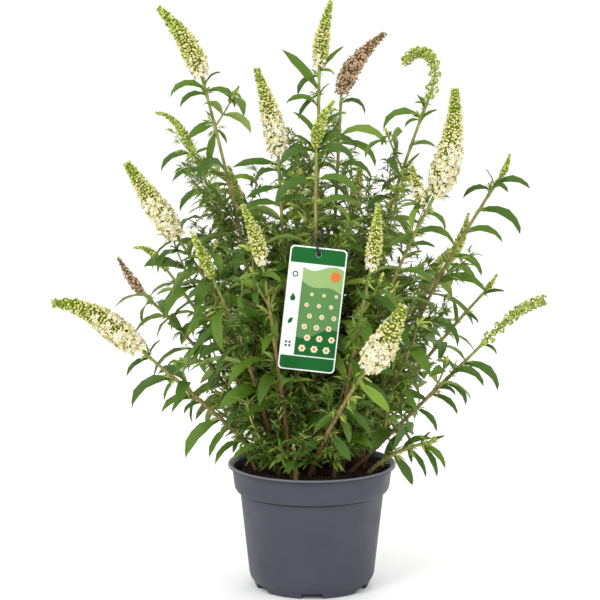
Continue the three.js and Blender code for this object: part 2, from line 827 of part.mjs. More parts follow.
addNode('pot', fixed.pot, COLOURS.pot);
addNode('potting_mix', fixed.soil, COLOURS.soil);
addNode('rootstock', fixed.stock, COLOURS.wood);
canes.forEach((cane, i) => addNode(`cane_${cane.name}`, bareStems[i], COLOURS.wood));
everyStem.forEach((cane, i) => {
  const kind = cane.bareLength > 0 ? 'foliage' : 'shoot';
  const mass = fused([...leafyStems[i], ...leaves.get(cane.name)]);
  addNode(`${kind}_${cane.name}`, mass, COLOURS.leaf);
});
addNode('label_card', fixed.card, COLOURS.card);
addNode('label_tie', fixed.tie, COLOURS.tie);

export default bush;
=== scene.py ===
"""A white butterfly bush in its nursery pot, with a hanging label.

Sizes are in millimetres until a mesh is made, and the meshes are in metres. Every cane
is a stem that bows from the potting mix to the foot of its flower spike. Leaf pairs,
tufts, side twigs and flowers grow on it by one seeded rule.
"""

import logging
import math
from dataclasses import dataclass, field, replace
from enum import Enum
from functools import cache
from typing import Any

import bpy
import numpy as np
from mathutils import Matrix, Vector, geometry, noise


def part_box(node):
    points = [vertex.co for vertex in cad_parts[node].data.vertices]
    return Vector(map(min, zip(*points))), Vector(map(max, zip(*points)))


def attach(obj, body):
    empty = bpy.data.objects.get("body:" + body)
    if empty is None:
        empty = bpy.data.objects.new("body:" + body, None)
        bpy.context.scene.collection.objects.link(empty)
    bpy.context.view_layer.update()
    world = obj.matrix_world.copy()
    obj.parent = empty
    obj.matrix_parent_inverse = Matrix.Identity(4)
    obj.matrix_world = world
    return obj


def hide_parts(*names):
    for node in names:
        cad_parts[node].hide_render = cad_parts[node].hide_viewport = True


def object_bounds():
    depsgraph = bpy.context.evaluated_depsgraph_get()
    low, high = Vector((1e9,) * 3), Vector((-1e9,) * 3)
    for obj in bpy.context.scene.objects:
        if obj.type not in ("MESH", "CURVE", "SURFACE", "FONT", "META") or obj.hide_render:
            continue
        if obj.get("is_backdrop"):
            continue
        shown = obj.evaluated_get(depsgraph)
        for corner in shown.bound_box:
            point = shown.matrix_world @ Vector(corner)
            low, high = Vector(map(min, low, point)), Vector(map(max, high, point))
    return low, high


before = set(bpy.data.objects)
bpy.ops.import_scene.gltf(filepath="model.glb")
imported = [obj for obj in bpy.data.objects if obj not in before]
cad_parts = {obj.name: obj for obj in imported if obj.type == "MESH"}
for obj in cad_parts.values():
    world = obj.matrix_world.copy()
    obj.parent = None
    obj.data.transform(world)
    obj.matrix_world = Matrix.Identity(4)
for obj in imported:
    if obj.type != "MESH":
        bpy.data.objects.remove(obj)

log = logging.getLogger("bush")

MM = 0.001
UP = np.array([0.0, 0.0, 1.0])
FRONT = np.array([0.0, -1.0, 0.0])
FLAT = np.array([1.0, 1.0, 0.0])
ROOT_BODY = "root"

LIP_RADIUS, _, POT_TOP = (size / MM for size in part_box("pot")[1])
SOIL_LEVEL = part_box("potting_mix")[1].z / MM
CROWN_LOW, CROWN_HIGH = (np.array(corner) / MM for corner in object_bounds())
SPARE = 5.0  # how far a leaf may pass the solids' box

Array = np.ndarray
Colour = tuple[int, int, int]
Spot = tuple[float, float]
Mesh, Piece = bpy.types.Mesh, bpy.types.Object
Socket, Templates = bpy.types.NodeSocket, bpy.types.Collection


# ---- small helpers


def unit(vectors: Array) -> Array:
    """Vectors scaled to length one, row by row."""
    return vectors / np.maximum(np.linalg.norm(vectors, axis=-1, keepdims=True), 1e-9)


def smooth(low: float, high: float, value: Any) -> Any:
    """The smoothstep of a value or array between two limits."""
    share = np.clip((value - low) / (high - low), 0.0, 1.0)
    return share * share * (3.0 - 2.0 * share)


def leaning(lean: float, heading: float) -> Array:
    """The unit vector that leans from upright towards a heading, both in degrees.

    Args:
        lean: Degrees from upright.
        heading: Degrees round the pot's axis.

    Returns:
        The vector.
    """
    tip, way = math.radians(lean), math.radians(heading)
    sine = math.sin(tip)
    return np.array([sine * math.cos(way), sine * math.sin(way), math.cos(tip)])


def place(radius: float, heading: float, height: float) -> Array:
    """The point at a radius and heading (degrees) round the pot's axis."""
    way = math.radians(heading)
    return np.array([radius * math.cos(way), radius * math.sin(way), height])


def arc_between(start: Array, end: Array, shares: Array) -> Array:
    """Unit vectors that turn from one to another.

    Args:
        start: The unit vector at share 0.
        end: The unit vector at share 1.
        shares: Shares of the angle between them.

    Returns:
        A vector for each share.
    """
    angle = math.acos(float(np.clip(start @ end, -1.0, 1.0)))
    if angle < 1e-4:
        return np.repeat(start[None], len(shares), axis=0)
    first = np.sin((1.0 - shares) * angle)[:, None] * start
    return (first + np.sin(shares * angle)[:, None] * end) / math.sin(angle)


def frames_along(ahead: Array, roll: Array) -> Array:
    """Blade frames whose Y axis runs ahead and whose Z axis points up, then rolled.

    Args:
        ahead: Unit vectors, one row for each blade.
        roll: Radians that each blade turns about its own length.

    Returns:
        An array of 3 by 3 matrices whose columns are the X, Y and Z axes.
    """
    side = unit(np.cross(ahead, UP) + 1e-6)
    top = np.cross(side, ahead)
    cosine, sine = np.cos(roll)[:, None], np.sin(roll)[:, None]
    return np.stack([cosine * side + sine * top, ahead, cosine * top - sine * side], axis=2)


def frames_facing(face: Array, spin: Array) -> Array:
    """Flower frames whose Z axis faces a way, spun about it.

    Args:
        face: Unit vectors, one row for each flower.
        spin: Radians that each flower turns about its own face.

    Returns:
        An array of 3 by 3 matrices whose columns are the X, Y and Z axes.
    """
    side = unit(np.cross(face, UP) + 1e-6)
    other = np.cross(face, side)
    cosine, sine = np.cos(spin)[:, None], np.sin(spin)[:, None]
    return np.stack([cosine * side + sine * other, cosine * other - sine * side, face], axis=2)


def euler_angles(frames: Array) -> Array:
    """XYZ Euler angles of rotation matrices.

    Args:
        frames: The matrices.

    Returns:
        A row of three angles for each, in radians.
    """
    return np.stack(
        [
            np.arctan2(frames[:, 2, 1], frames[:, 2, 2]),
            np.arcsin(np.clip(-frames[:, 2, 0], -1.0, 1.0)),
            np.arctan2(frames[:, 1, 0], frames[:, 0, 0]),
        ],
        axis=1,
    )


# ---- meshes


@dataclass
class Shape:
    """Corners in millimetres and faces that point outwards."""

    corners: list[Any] = field(default_factory=list)
    faces: list[tuple[int, ...]] = field(default_factory=list)

    def join(self, other: "Shape") -> "Shape":
        """Adds another shape's corners and faces to this one.

        Args:
            other: The other shape.

        Returns:
            This shape.
        """
        first = len(self.corners)
        self.corners += other.corners
        self.faces += [tuple(first + i for i in face) for face in other.faces]
        return self

    def moved(self, matrix: Matrix) -> "Shape":
        """A copy under a matrix in millimetres."""
        return Shape([tuple(matrix @ Vector(c)) for c in self.corners], list(self.faces))

    def mesh(self, name: str, scale: float = MM, crease: float = 35.0) -> Mesh:
        """A smooth mesh, creased where its faces meet at more than an angle in degrees.

        Args:
            name: The mesh's name.
            scale: Metres for each unit of the shape.
            crease: The angle, in degrees.

        Returns:
            The mesh.
        """
        mesh = bpy.data.meshes.new(name)
        corners = [tuple(scale * c for c in corner) for corner in self.corners]
        mesh.from_pydata(corners, [], self.faces, shade_flat=False)
        mesh.set_sharp_from_angle(angle=math.radians(crease))
        return mesh


def turned(profile: list[Spot], sides: int) -> Shape:
    """A round body.

    Args:
        profile: Its radius and height at each corner, from pole to pole.
        sides: How many flat sides stand for the round.

    Returns:
        The closed shape about the Z axis.
    """
    shape = Shape([(0.0, 0.0, profile[0][1])])
    for radius, height in profile[1:-1]:
        for j in range(sides):
            angle = 2.0 * math.pi * j / sides
            shape.corners.append((radius * math.cos(angle), radius * math.sin(angle), height))
    shape.corners.append((0.0, 0.0, profile[-1][1]))
    last, rings = len(shape.corners) - 1, len(profile) - 2
    for j in range(sides):
        k = (j + 1) % sides
        shape.faces.append((0, 1 + k, 1 + j))
        for i in range(rings - 1):
            low, high = 1 + i * sides, 1 + (i + 1) * sides
            shape.faces.append((low + j, low + k, high + k, high + j))
        top = 1 + (rings - 1) * sides
        shape.faces.append((top + j, top + k, last))
    return shape


MOST_EASED = 0.48  # the share of an edge that a rounded corner may take


def eased(profile: list[tuple[float, float, float]], steps: int = 5) -> list[Spot]:
    """A profile with its corners rounded.

    Args:
        profile: Radius, height and setback of the curve at each corner.
        steps: How many chords a rounded corner has.

    Returns:
        The radius and height of every point.
    """
    points = [Vector((radius, height)) for radius, height, _ in profile]
    setbacks = [setback for _, _, setback in profile]
    out = [tuple(points[0])]
    for before, at, after, setback in zip(points, points[1:], points[2:], setbacks[1:]):
        reach = min(setback, MOST_EASED * (before - at).length, MOST_EASED * (after - at).length)
        start = at + (before - at).normalized() * reach
        end = at + (after - at).normalized() * reach
        count = steps if reach > 0.0 else 0
        for i in range(count + 1):
            share = i / max(count, 1)
            point = start.lerp(at, share).lerp(at.lerp(end, share), share)
            out.append(tuple(point))
    out.append(tuple(points[-1]))
    return out


def plate(loops: list[list[Spot]], front: float, back: float) -> Shape:
    """A flat plate in the XZ plane, between two values of Y, with holes.

    Args:
        loops: The outline, anticlockwise seen from the front, and then its holes,
            clockwise.
        front: Y of the side that faces -Y.
        back: Y of the other side.

    Returns:
        The closed shape.
    """
    flat = [point for loop in loops for point in loop]
    count = len(flat)
    shape = Shape([(x, front, z) for x, z in flat] + [(x, back, z) for x, z in flat])
    for a, b, c in geometry.tessellate_polygon([[(x, z, 0.0) for x, z in l] for l in loops]):
        (ax, az), (bx, bz), (cx, cz) = flat[a], flat[b], flat[c]
        if (bx - ax) * (cz - az) - (bz - az) * (cx - ax) < 0.0:
            b, c = c, b
        shape.faces += [(a, b, c), (count + a, count + c, count + b)]
    first = 0
    for loop in loops:
        for i in range(len(loop)):
            a, b = first + i, first + (i + 1) % len(loop)
            shape.faces.append((b, a, count + a, count + b))
        first += len(loop)
    return shape


def disc(x: float, z: float, radius: float, sides: int = 24, hole: bool = False) -> list[Spot]:
    """A round outline.

    Args:
        x: Its middle's X.
        z: Its middle's Z.
        radius: Its radius.
        sides: How many sides it has.
        hole: Whether it runs clockwise, as the edge of a hole does.

    Returns:
        Its corners.
    """
    way = -1.0 if hole else 1.0
    angles = [way * 2.0 * math.pi * i / sides for i in range(sides)]
    return [(x + radius * math.cos(a), z + radius * math.sin(a)) for a in angles]


CORNER_STEPS = 7


def rounded_box(
    left: float, bottom: float, right: float, top: float, corners: tuple[float, ...]
) -> list[Spot]:
    """A box outline with rounded corners.

    Args:
        left: Its least X.
        bottom: Its least Z.
        right: Its greatest X.
        top: Its greatest Z.
        corners: The radius of each corner, from bottom right anticlockwise.

    Returns:
        Its corners, anticlockwise.
    """
    radii = dict(zip(((right, bottom), (right, top), (left, top), (left, bottom)), corners))
    out = []
    for i, ((x, z), radius) in enumerate(radii.items()):
        inward_x = -1.0 if x == right else 1.0
        inward_z = -1.0 if z == top else 1.0
        centre = (x + inward_x * radius, z + inward_z * radius)
        steps = CORNER_STEPS if radius > 0.0 else 0
        for j in range(steps + 1):
            angle = math.radians(-90.0 + 90.0 * i + 90.0 * j / max(steps, 1))
            out.append((centre[0] + radius * math.cos(angle), centre[1] + radius * math.sin(angle)))
    return out


def add_object(name: str, mesh: Mesh) -> Piece:
    """A new object at the origin, in the scene.

    Args:
        name: Its name.
        mesh: Its mesh.

    Returns:
        The object.
    """
    piece = bpy.data.objects.new(name, mesh)
    bpy.context.scene.collection.objects.link(piece)
    return piece


def settled(source: Piece, name: str) -> Piece:
    """A plain object of another's evaluated mesh.

    Args:
        source: The object with its modifiers. It is removed.
        name: The new object's name.

    Returns:
        The new object, in the scene.
    """
    graph = bpy.context.evaluated_depsgraph_get()
    evaluated = source.evaluated_get(graph)
    mesh = bpy.data.meshes.new_from_object(evaluated, preserve_all_data_layers=True, depsgraph=graph)
    mesh.name = name
    source.modifiers.clear()
    bpy.data.objects.remove(source)
    return add_object(name, mesh)


def hand_over(piece: Piece, slot: str, *nodes: str) -> None:
    """Fixes a finished piece to the plant's body, hides the solids that it stands for and logs its
    triangles.

    Args:
        piece: The object.
        slot: The finish slot that it shows; not used.
        *nodes: The names of the solids that it stands for.
    """
    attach(piece, ROOT_BODY)
    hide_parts(*nodes)
    triangles = sum(len(p.vertices) - 2 for p in piece.data.polygons)
    log.info("%s: %d triangles", piece.name, triangles)


# ---- finishes


def linear(colour: Colour) -> tuple[float, float, float, float]:
    """A colour of 0 to 255 as the linear values that a shader reads."""
    parts = [c / 255.0 for c in colour]
    return (*[p / 12.92 if p <= 0.04045 else ((p + 0.055) / 1.055) ** 2.4 for p in parts], 1.0)


class NodeKit:
    """Adds nodes to a tree and links them by the names of their sockets."""

    def __init__(self, tree: bpy.types.NodeTree) -> None:
        """Takes the tree that the nodes go in."""
        self.tree = tree

    def add(self, kind: str, inputs: dict[Any, Any] | None = None, **settings: Any) -> bpy.types.Node:
        """A new node.

        Args:
            kind: The node's type.
            inputs: Values or output sockets for its inputs, by name or number.
            **settings: The node's own properties.

        Returns:
            The node.
        """
        node = self.tree.nodes.new(kind)
        for name, value in settings.items():
            setattr(node, name, value)
        for name, value in (inputs or {}).items():
            if isinstance(value, Socket):
                self.tree.links.new(value, node.inputs[name])
            else:
                node.inputs[name].default_value = value
        return node

    def sum_of(self, operation: str, *values: Any, **settings: Any) -> Socket:
        """The output of a Math node."""
        inputs = dict(enumerate(values))
        return self.add("ShaderNodeMath", inputs, operation=operation, **settings).outputs[0]

    def interface(self, inputs: dict[str, tuple[str, Any]], outputs: dict[str, str]) -> bpy.types.Node:
        """Gives a group its named sockets.

        Args:
            inputs: The kind and default of each input, by name.
            outputs: The kind of each output, by name.

        Returns:
            The group's input node.
        """
        face = self.tree.interface
        for name, kind in outputs.items():
            face.new_socket(name, in_out="OUTPUT", socket_type=kind)
        for name, (kind, default) in inputs.items():
            socket = face.new_socket(name, in_out="INPUT", socket_type=kind)
            if default is not None:
                socket.default_value = default
        return self.add("NodeGroupInput")


def shader_group(name: str) -> NodeKit:
    """A kit for a new group of shader nodes."""
    return NodeKit(bpy.data.node_groups.new(name, "ShaderNodeTree"))


@cache
def mottle_group() -> bpy.types.NodeTree:
    """Soft patches between a low and a high value, over the whole piece.

    Returns:
        The group.
    """
    kit = shader_group("mottle")
    floats = {"Scale": 60.0, "Low": 0.0, "High": 1.0}
    given = kit.interface(
        {name: ("NodeSocketFloat", value) for name, value in floats.items()},
        {"Value": "NodeSocketFloat"},
    )
    where = kit.add("ShaderNodeTexCoord")
    patches = kit.add(
        "ShaderNodeTexNoise",
        {"Vector": where.outputs["Object"], "Scale": given.outputs["Scale"], "Detail": 3.0},
    )
    spread = kit.add(
        "ShaderNodeMapRange",
        {
            "Value": patches.outputs[0],
            "From Min": 0.32,
            "From Max": 0.68,
            "To Min": given.outputs["Low"],
            "To Max": given.outputs["High"],
        },
    )
    kit.add("NodeGroupOutput", {"Value": spread.outputs[0]})
    return kit.tree


@cache
def grain_group() -> bpy.types.NodeTree:
    """The height of a fine tooth, drawn out along one axis where it is stretched.

    Returns:
        The group.
    """
    kit = shader_group("grain")
    given = kit.interface(
        {"Scale": ("NodeSocketFloat", 900.0), "Stretch": ("NodeSocketFloat", 1.0)},
        {"Height": "NodeSocketFloat"},
    )
    where = kit.add("ShaderNodeTexCoord")
    factors = kit.add("ShaderNodeCombineXYZ", {"X": 1.0, "Y": 1.0, "Z": given.outputs["Stretch"]})
    drawn = kit.add(
        "ShaderNodeVectorMath",
        {0: where.outputs["Object"], 1: factors.outputs[0]},
        operation="MULTIPLY",
    )
    tooth = kit.add(
        "ShaderNodeTexNoise",
        {"Vector": drawn.outputs[0], "Scale": given.outputs["Scale"], "Detail": 4.0},
    )
    kit.add("NodeGroupOutput", {"Height": tooth.outputs[0]})
    return kit.tree


VEIN_PAIRS = 9.0
RIB_SHARPNESS, RIB_DEPTH = 9.0, 1.6
VEIN_SLANT, VEIN_SHARPNESS, VEIN_DEPTH = 0.24, 7.0, 0.7


@cache
def vein_group() -> bpy.types.NodeTree:
    """The height of a leaf's midrib and of its side veins, along the blade's own map.

    Returns:
        The group.
    """
    kit = shader_group("veins")
    given = kit.interface({"Pairs": ("NodeSocketFloat", VEIN_PAIRS)}, {"Height": "NodeSocketFloat"})
    where = kit.add("ShaderNodeTexCoord")
    parts = kit.add("ShaderNodeSeparateXYZ", {0: where.outputs["UV"]})
    aside = kit.sum_of("ABSOLUTE", kit.sum_of("SUBTRACT", parts.outputs["X"], 0.5))
    rib = kit.sum_of("SUBTRACT", 1.0, kit.sum_of("MULTIPLY", aside, RIB_SHARPNESS), use_clamp=True)
    slant = kit.sum_of("SUBTRACT", parts.outputs["Y"], kit.sum_of("MULTIPLY", aside, VEIN_SLANT))
    rows = kit.sum_of("PINGPONG", kit.sum_of("MULTIPLY", slant, given.outputs["Pairs"]), 0.5)
    furrow = kit.sum_of("SUBTRACT", 1.0, kit.sum_of("MULTIPLY", rows, VEIN_SHARPNESS), use_clamp=True)
    ribbed = kit.sum_of("MULTIPLY", rib, RIB_DEPTH)
    sunk = kit.sum_of("ADD", ribbed, kit.sum_of("MULTIPLY", furrow, VEIN_DEPTH))
    kit.add("NodeGroupOutput", {"Height": kit.sum_of("SUBTRACT", 0.0, sunk)})
    return kit.tree


class Relief(Enum):
    """What the small relief of a finish follows."""

    TOOTH = "tooth"
    VEINS = "veins"


@dataclass(frozen=True)
class Finish:
    """A surface: its colour, its gloss and its fine relief."""

    name: str
    colour: Colour
    roughness: Spot = (0.5, 0.65)
    mottled_with: Colour | None = None
    patch_scale: float = 60.0
    relief: Relief = Relief.TOOTH
    grain: float = 900.0
    stretch: float = 1.0
    depth: float = 0.1
    specular: float = 0.5

    def shade(self, name: str, colour: Colour) -> "Finish":
        """The same surface in another colour."""
        return replace(self, name=name, colour=colour)

    def group(self, kit: NodeKit, tree: bpy.types.NodeTree, **values: float) -> Socket:
        """Places a shared group.

        Args:
            kit: The material's nodes.
            tree: The group.
            **values: Its inputs, by their names in lower case.

        Returns:
            The group's first output.
        """
        node = kit.add("ShaderNodeGroup", node_tree=tree)
        for name, value in values.items():
            node.inputs[name.capitalize()].default_value = value
        return node.outputs[0]

    def height(self, kit: NodeKit) -> Socket:
        """The height that the bump follows.

        Args:
            kit: The material's nodes.

        Returns:
            The height's socket.
        """
        if self.relief is Relief.VEINS:
            return self.group(kit, vein_group(), pairs=VEIN_PAIRS)
        return self.group(kit, grain_group(), scale=self.grain, stretch=self.stretch)

    def base_colour(self, kit: NodeKit, shader: bpy.types.Node) -> None:
        """Colours the surface, in patches where it is mottled.

        Args:
            kit: The material's nodes.
            shader: The node that takes the colour.
        """
        shader.inputs["Base Color"].default_value = linear(self.colour)
        if self.mottled_with is None:
            return
        patches = self.group(kit, mottle_group(), scale=self.patch_scale)
        mix = kit.add(
            "ShaderNodeMix",
            {0: patches, 6: linear(self.colour), 7: linear(self.mottled_with)},
            data_type="RGBA",
        )
        kit.tree.links.new(mix.outputs[2], shader.inputs["Base Color"])

    def material(self) -> bpy.types.Material:
        """The material that carries this finish."""
        return dressed(self)


BUMP = 0.7  # how strongly the fine relief shades


@cache
def dressed(finish: Finish) -> bpy.types.Material:
    """Builds a finish's material, once.

    Args:
        finish: The finish.

    Returns:
        The material.
    """
    material = bpy.data.materials.new(finish.name)
    material.use_nodes = True
    kit = NodeKit(material.node_tree)
    shader = kit.tree.nodes["Principled BSDF"]
    shader.inputs["Specular IOR Level"].default_value = finish.specular
    finish.base_colour(kit, shader)
    low, high = finish.roughness
    patches = finish.group(kit, mottle_group(), scale=finish.patch_scale, low=low, high=high)
    kit.tree.links.new(patches, shader.inputs["Roughness"])
    bump = kit.add(
        "ShaderNodeBump",
        {"Strength": BUMP, "Distance": finish.depth * MM, "Height": finish.height(kit)},
    )
    kit.tree.links.new(bump.outputs[0], shader.inputs["Normal"])
    return material


@dataclass(frozen=True)
class BarkFinish(Finish):
    """Bark that is brown and streaked at the foot and turns green with height."""

    tan: Colour = (152, 128, 84)
    olive: Colour = (150, 146, 84)
    green: Colour = (142, 158, 80)

    streaks: Spot = (420.0, 0.12)  # their scale and how they are drawn out

    def base_colour(self, kit: NodeKit, shader: bpy.types.Node) -> None:
        """Links the colour to the stem's age and to streaks along it.

        Args:
            kit: The material's nodes.
            shader: The node that takes the colour.
        """
        age = kit.add("ShaderNodeAttribute", attribute_name="age")
        ramp = kit.add("ShaderNodeValToRGB", {0: age.outputs["Fac"]})
        stops = ramp.color_ramp.elements
        stops[0].color = linear(self.colour)
        stops[1].color = linear(self.green)
        stops[0].position, stops[1].position = 0.22, 1.0
        stops.new(0.55).color = linear(self.tan)
        stops.new(0.84).color = linear(self.olive)
        scale, stretch = self.streaks
        streaks = self.group(kit, grain_group(), scale=scale, stretch=stretch)
        dark = kit.add(
            "ShaderNodeMapRange",
            {"Value": streaks, "From Min": 0.4, "From Max": 0.62, "To Min": 0.62, "To Max": 1.12},
        )
        shaded = kit.add(
            "ShaderNodeVectorMath",
            {0: ramp.outputs[0], "Scale": dark.outputs[0]},
            operation="SCALE",
        )
        kit.tree.links.new(shaded.outputs[0], shader.inputs["Base Color"])


POT_PLASTIC = Finish(
    "pot_plastic", (66, 68, 79), (0.4, 0.55), (61, 63, 74), 22.0, grain=1400.0, depth=0.05, specular=0.3
)
# painted shade: a near-black finish for the down-facing faces under the lip and the band
POT_PAINTED_SHADE = Finish("pot_painted_shade", (24, 24, 28), (0.6, 0.8), grain=1400.0, depth=0.05, specular=0.2)
# painted highlight: a paler, glossier finish for the lip's top outer edge
POT_PAINTED_HIGHLIGHT = Finish("pot_painted_highlight", (104, 106, 116), (0.3, 0.4), grain=1400.0, depth=0.05)
SOIL_DARK = Finish(
    "soil_dark", (52, 38, 29), (0.85, 1.0), (20, 12, 7), 160.0, grain=700.0, depth=0.8, specular=0.15
)
CRUMB_DARK = Finish("crumb_dark", (48, 34, 26), (0.8, 1.0), depth=0.4, specular=0.2)
CRUMB_BROWN = CRUMB_DARK.shade("crumb_brown", (74, 48, 29))
CRUMB_PALE = Finish("crumb_pale", (146, 116, 86), (0.8, 1.0), depth=0.3, specular=0.2)
BARK = BarkFinish(
    "cane_bark", (108, 78, 48), (0.62, 0.85), None, 140.0,
    grain=520.0, stretch=0.18, depth=0.35, specular=0.25,
)
TWIG = Finish("twig_bark", (112, 112, 54), (0.6, 0.8), grain=600.0, depth=0.15, specular=0.25)
LEAF_DEEP = Finish("leaf_deep", (64, 96, 16), (0.4, 0.56), relief=Relief.VEINS, depth=0.35, specular=0.32)
LEAF_MID = LEAF_DEEP.shade("leaf_mid", (82, 114, 22))
LEAF_FRESH = Finish("leaf_fresh", (116, 144, 44), (0.42, 0.6), relief=Relief.VEINS, depth=0.3, specular=0.32)
LEAF_BACK = Finish("leaf_back", (138, 160, 82), (0.6, 0.8), relief=Relief.VEINS, depth=0.3, specular=0.2)
SPRIG_DEEP = Finish("sprig_deep", (62, 88, 18), grain=700.0, depth=0.12, specular=0.3)
SPRIG_MID = SPRIG_DEEP.shade("sprig_mid", (100, 126, 38))
SPRIG_FRESH = SPRIG_DEEP.shade("sprig_fresh", (166, 182, 80))
SPRIG_BACK = Finish("sprig_back", (150, 168, 88), (0.6, 0.8), grain=700.0, depth=0.12, specular=0.2)
PETAL_WHITE = Finish("petal_white", (236, 230, 204), (0.5, 0.7), grain=1600.0, depth=0.08, specular=0.3)
PETAL_CREAM = PETAL_WHITE.shade("petal_cream", (226, 216, 168))
THROAT = Finish("throat", (204, 148, 52), (0.5, 0.7), grain=1600.0, depth=0.05)
BUD_CREAM = Finish("bud_cream", (226, 220, 152), (0.5, 0.7), grain=1200.0, depth=0.08, specular=0.35)
BUD_PALE = BUD_CREAM.shade("bud_pale", (200, 206, 116))
BUD_LIME = BUD_CREAM.shade("bud_lime", (158, 172, 62))
BUD_GREEN = BUD_CREAM.shade("bud_green", (124, 146, 46))
HUSK_TAN = Finish("husk_tan", (202, 174, 140), (0.7, 0.9), grain=1200.0, depth=0.15, specular=0.2)
HUSK_BROWN = HUSK_TAN.shade("husk_brown", (144, 114, 84))
CORE_LIME = Finish("core_lime", (104, 116, 36), (0.6, 0.8), grain=700.0, depth=0.4, specular=0.2)
CORE_HUSK = Finish("core_husk", (108, 84, 52), (0.7, 0.9), grain=700.0, depth=0.4, specular=0.2)
CARD_WHITE = Finish("card_white", (246, 248, 246), (0.28, 0.38), patch_scale=40.0, grain=1800.0, depth=0.02)
PRINT_GREEN = replace(
    CARD_WHITE, name="print_green", colour=(8, 96, 36), roughness=(0.4, 0.5), specular=0.2
)
PRINT_MID = CARD_WHITE.shade("print_mid", (80, 130, 62))
PRINT_PALE = CARD_WHITE.shade("print_pale", (146, 178, 108))
PRINT_CREAM = CARD_WHITE.shade("print_cream", (240, 232, 196))
PRINT_ORANGE = CARD_WHITE.shade("print_orange", (222, 112, 34))
TIE_BLACK = Finish("tie_black", (24, 24, 25), (0.4, 0.55), grain=1500.0, depth=0.05)


# ---- node trees


class Recipe(NodeKit):
    """A Geometry Nodes tree with named inputs, ready to grow a piece."""

    def __init__(self, name: str, inputs: dict[str, str]) -> None:
        """Makes the tree, its Geometry sockets and its named inputs."""
        super().__init__(bpy.data.node_groups.new(name, "GeometryNodeTree"))
        sockets = {"Geometry": "NodeSocketGeometry", **inputs}
        self.given = self.interface(
            {label: (kind, None) for label, kind in sockets.items()},
            {"Geometry": "NodeSocketGeometry"},
        )
        items = self.tree.interface.items_tree
        self.keys = {item.name: item.identifier for item in items if item.in_out == "INPUT"}

    def value(self, name: str, kind: str) -> Socket:
        """A named attribute of the geometry."""
        return self.add("GeometryNodeInputNamedAttribute", {"Name": name}, data_type=kind).outputs[0]

    def chance(self, kind: str, low: Any, high: Any) -> Socket:
        """A random value between two limits, by the tree's own seed.

        Args:
            kind: Its data type.
            low: The least.
            high: The most.

        Returns:
            Its socket.
        """
        place_of = 2 * RANDOM_KINDS.index(kind)
        inputs = {place_of: low, place_of + 1: high, "Seed": self.given.outputs["Seed"]}
        return self.add("FunctionNodeRandomValue", inputs, data_type=kind).outputs[place_of // 2]

    def copies(self, points: Socket, choice: Socket, turn: Socket, size: Socket) -> Socket:
        """Deals the tree's templates out on points.

        Args:
            points: Where the copies go.
            choice: The number of the template at each point.
            turn: Its Euler angles.
            size: Its size along each axis.

        Returns:
            The copies as real geometry.
        """
        templates = self.add(
            "GeometryNodeCollectionInfo",
            {
                "Collection": self.given.outputs["Templates"],
                "Separate Children": True,
                "Reset Children": True,
            },
        )
        rotation = self.add("FunctionNodeEulerToRotation", {0: turn})
        dealt = self.add(
            "GeometryNodeInstanceOnPoints",
            {
                "Points": points,
                "Instance": templates.outputs[0],
                "Pick Instance": True,
                "Instance Index": choice,
                "Rotation": rotation.outputs[0],
                "Scale": size,
            },
        )
        return self.add("GeometryNodeRealizeInstances", {0: dealt.outputs[0]}).outputs[0]

    def painted(self, geometry: Socket, finish: str, **chosen: Socket) -> Socket:
        """The geometry in one of the tree's finishes, everywhere or on a selection."""
        inputs = {"Geometry": geometry, "Material": self.given.outputs[finish], **chosen}
        return self.add("GeometryNodeSetMaterial", inputs).outputs[0]

    def ended(self, geometry: Socket) -> "Recipe":
        """The tree, with its last geometry linked to its output."""
        self.add("NodeGroupOutput", {0: geometry})
        return self

    def grown(self, seedling: Piece, name: str, values: dict[str, Any]) -> Piece:
        """Runs the tree on a seedling.

        Args:
            seedling: The object that the tree starts from. It is removed.
            name: The piece's name.
            values: Values for the tree's named inputs.

        Returns:
            The plain piece.
        """
        modifier = seedling.modifiers.new(self.tree.name, "NODES")
        modifier.node_group = self.tree
        for label, value in values.items():
            modifier[self.keys[label]] = value
        return settled(seedling, name)


RANDOM_KINDS = ("FLOAT_VECTOR", "FLOAT", "INT")  # in the order of a random value's sockets
FISSURE_STRETCH = (1.0, 1.0, 0.16)  # fissures are drawn out upwards


@cache
def dealing() -> Recipe:
    """Deals templates out on points and gives their faces and backs a finish each.

    Returns:
        The tree.
    """
    kit = Recipe(
        "dealing",
        {
            "Templates": "NodeSocketCollection",
            "Face finish": "NodeSocketMaterial",
            "Back finish": "NodeSocketMaterial",
        },
    )
    choice, turn = kit.value("choice", "INT"), kit.value("turn", "FLOAT_VECTOR")
    size = kit.value("size", "FLOAT_VECTOR")
    real = kit.copies(kit.given.outputs["Geometry"], choice, turn, size)
    faces = kit.painted(real, "Face finish")
    return kit.ended(kit.painted(faces, "Back finish", Selection=kit.value("under", "BOOLEAN")))


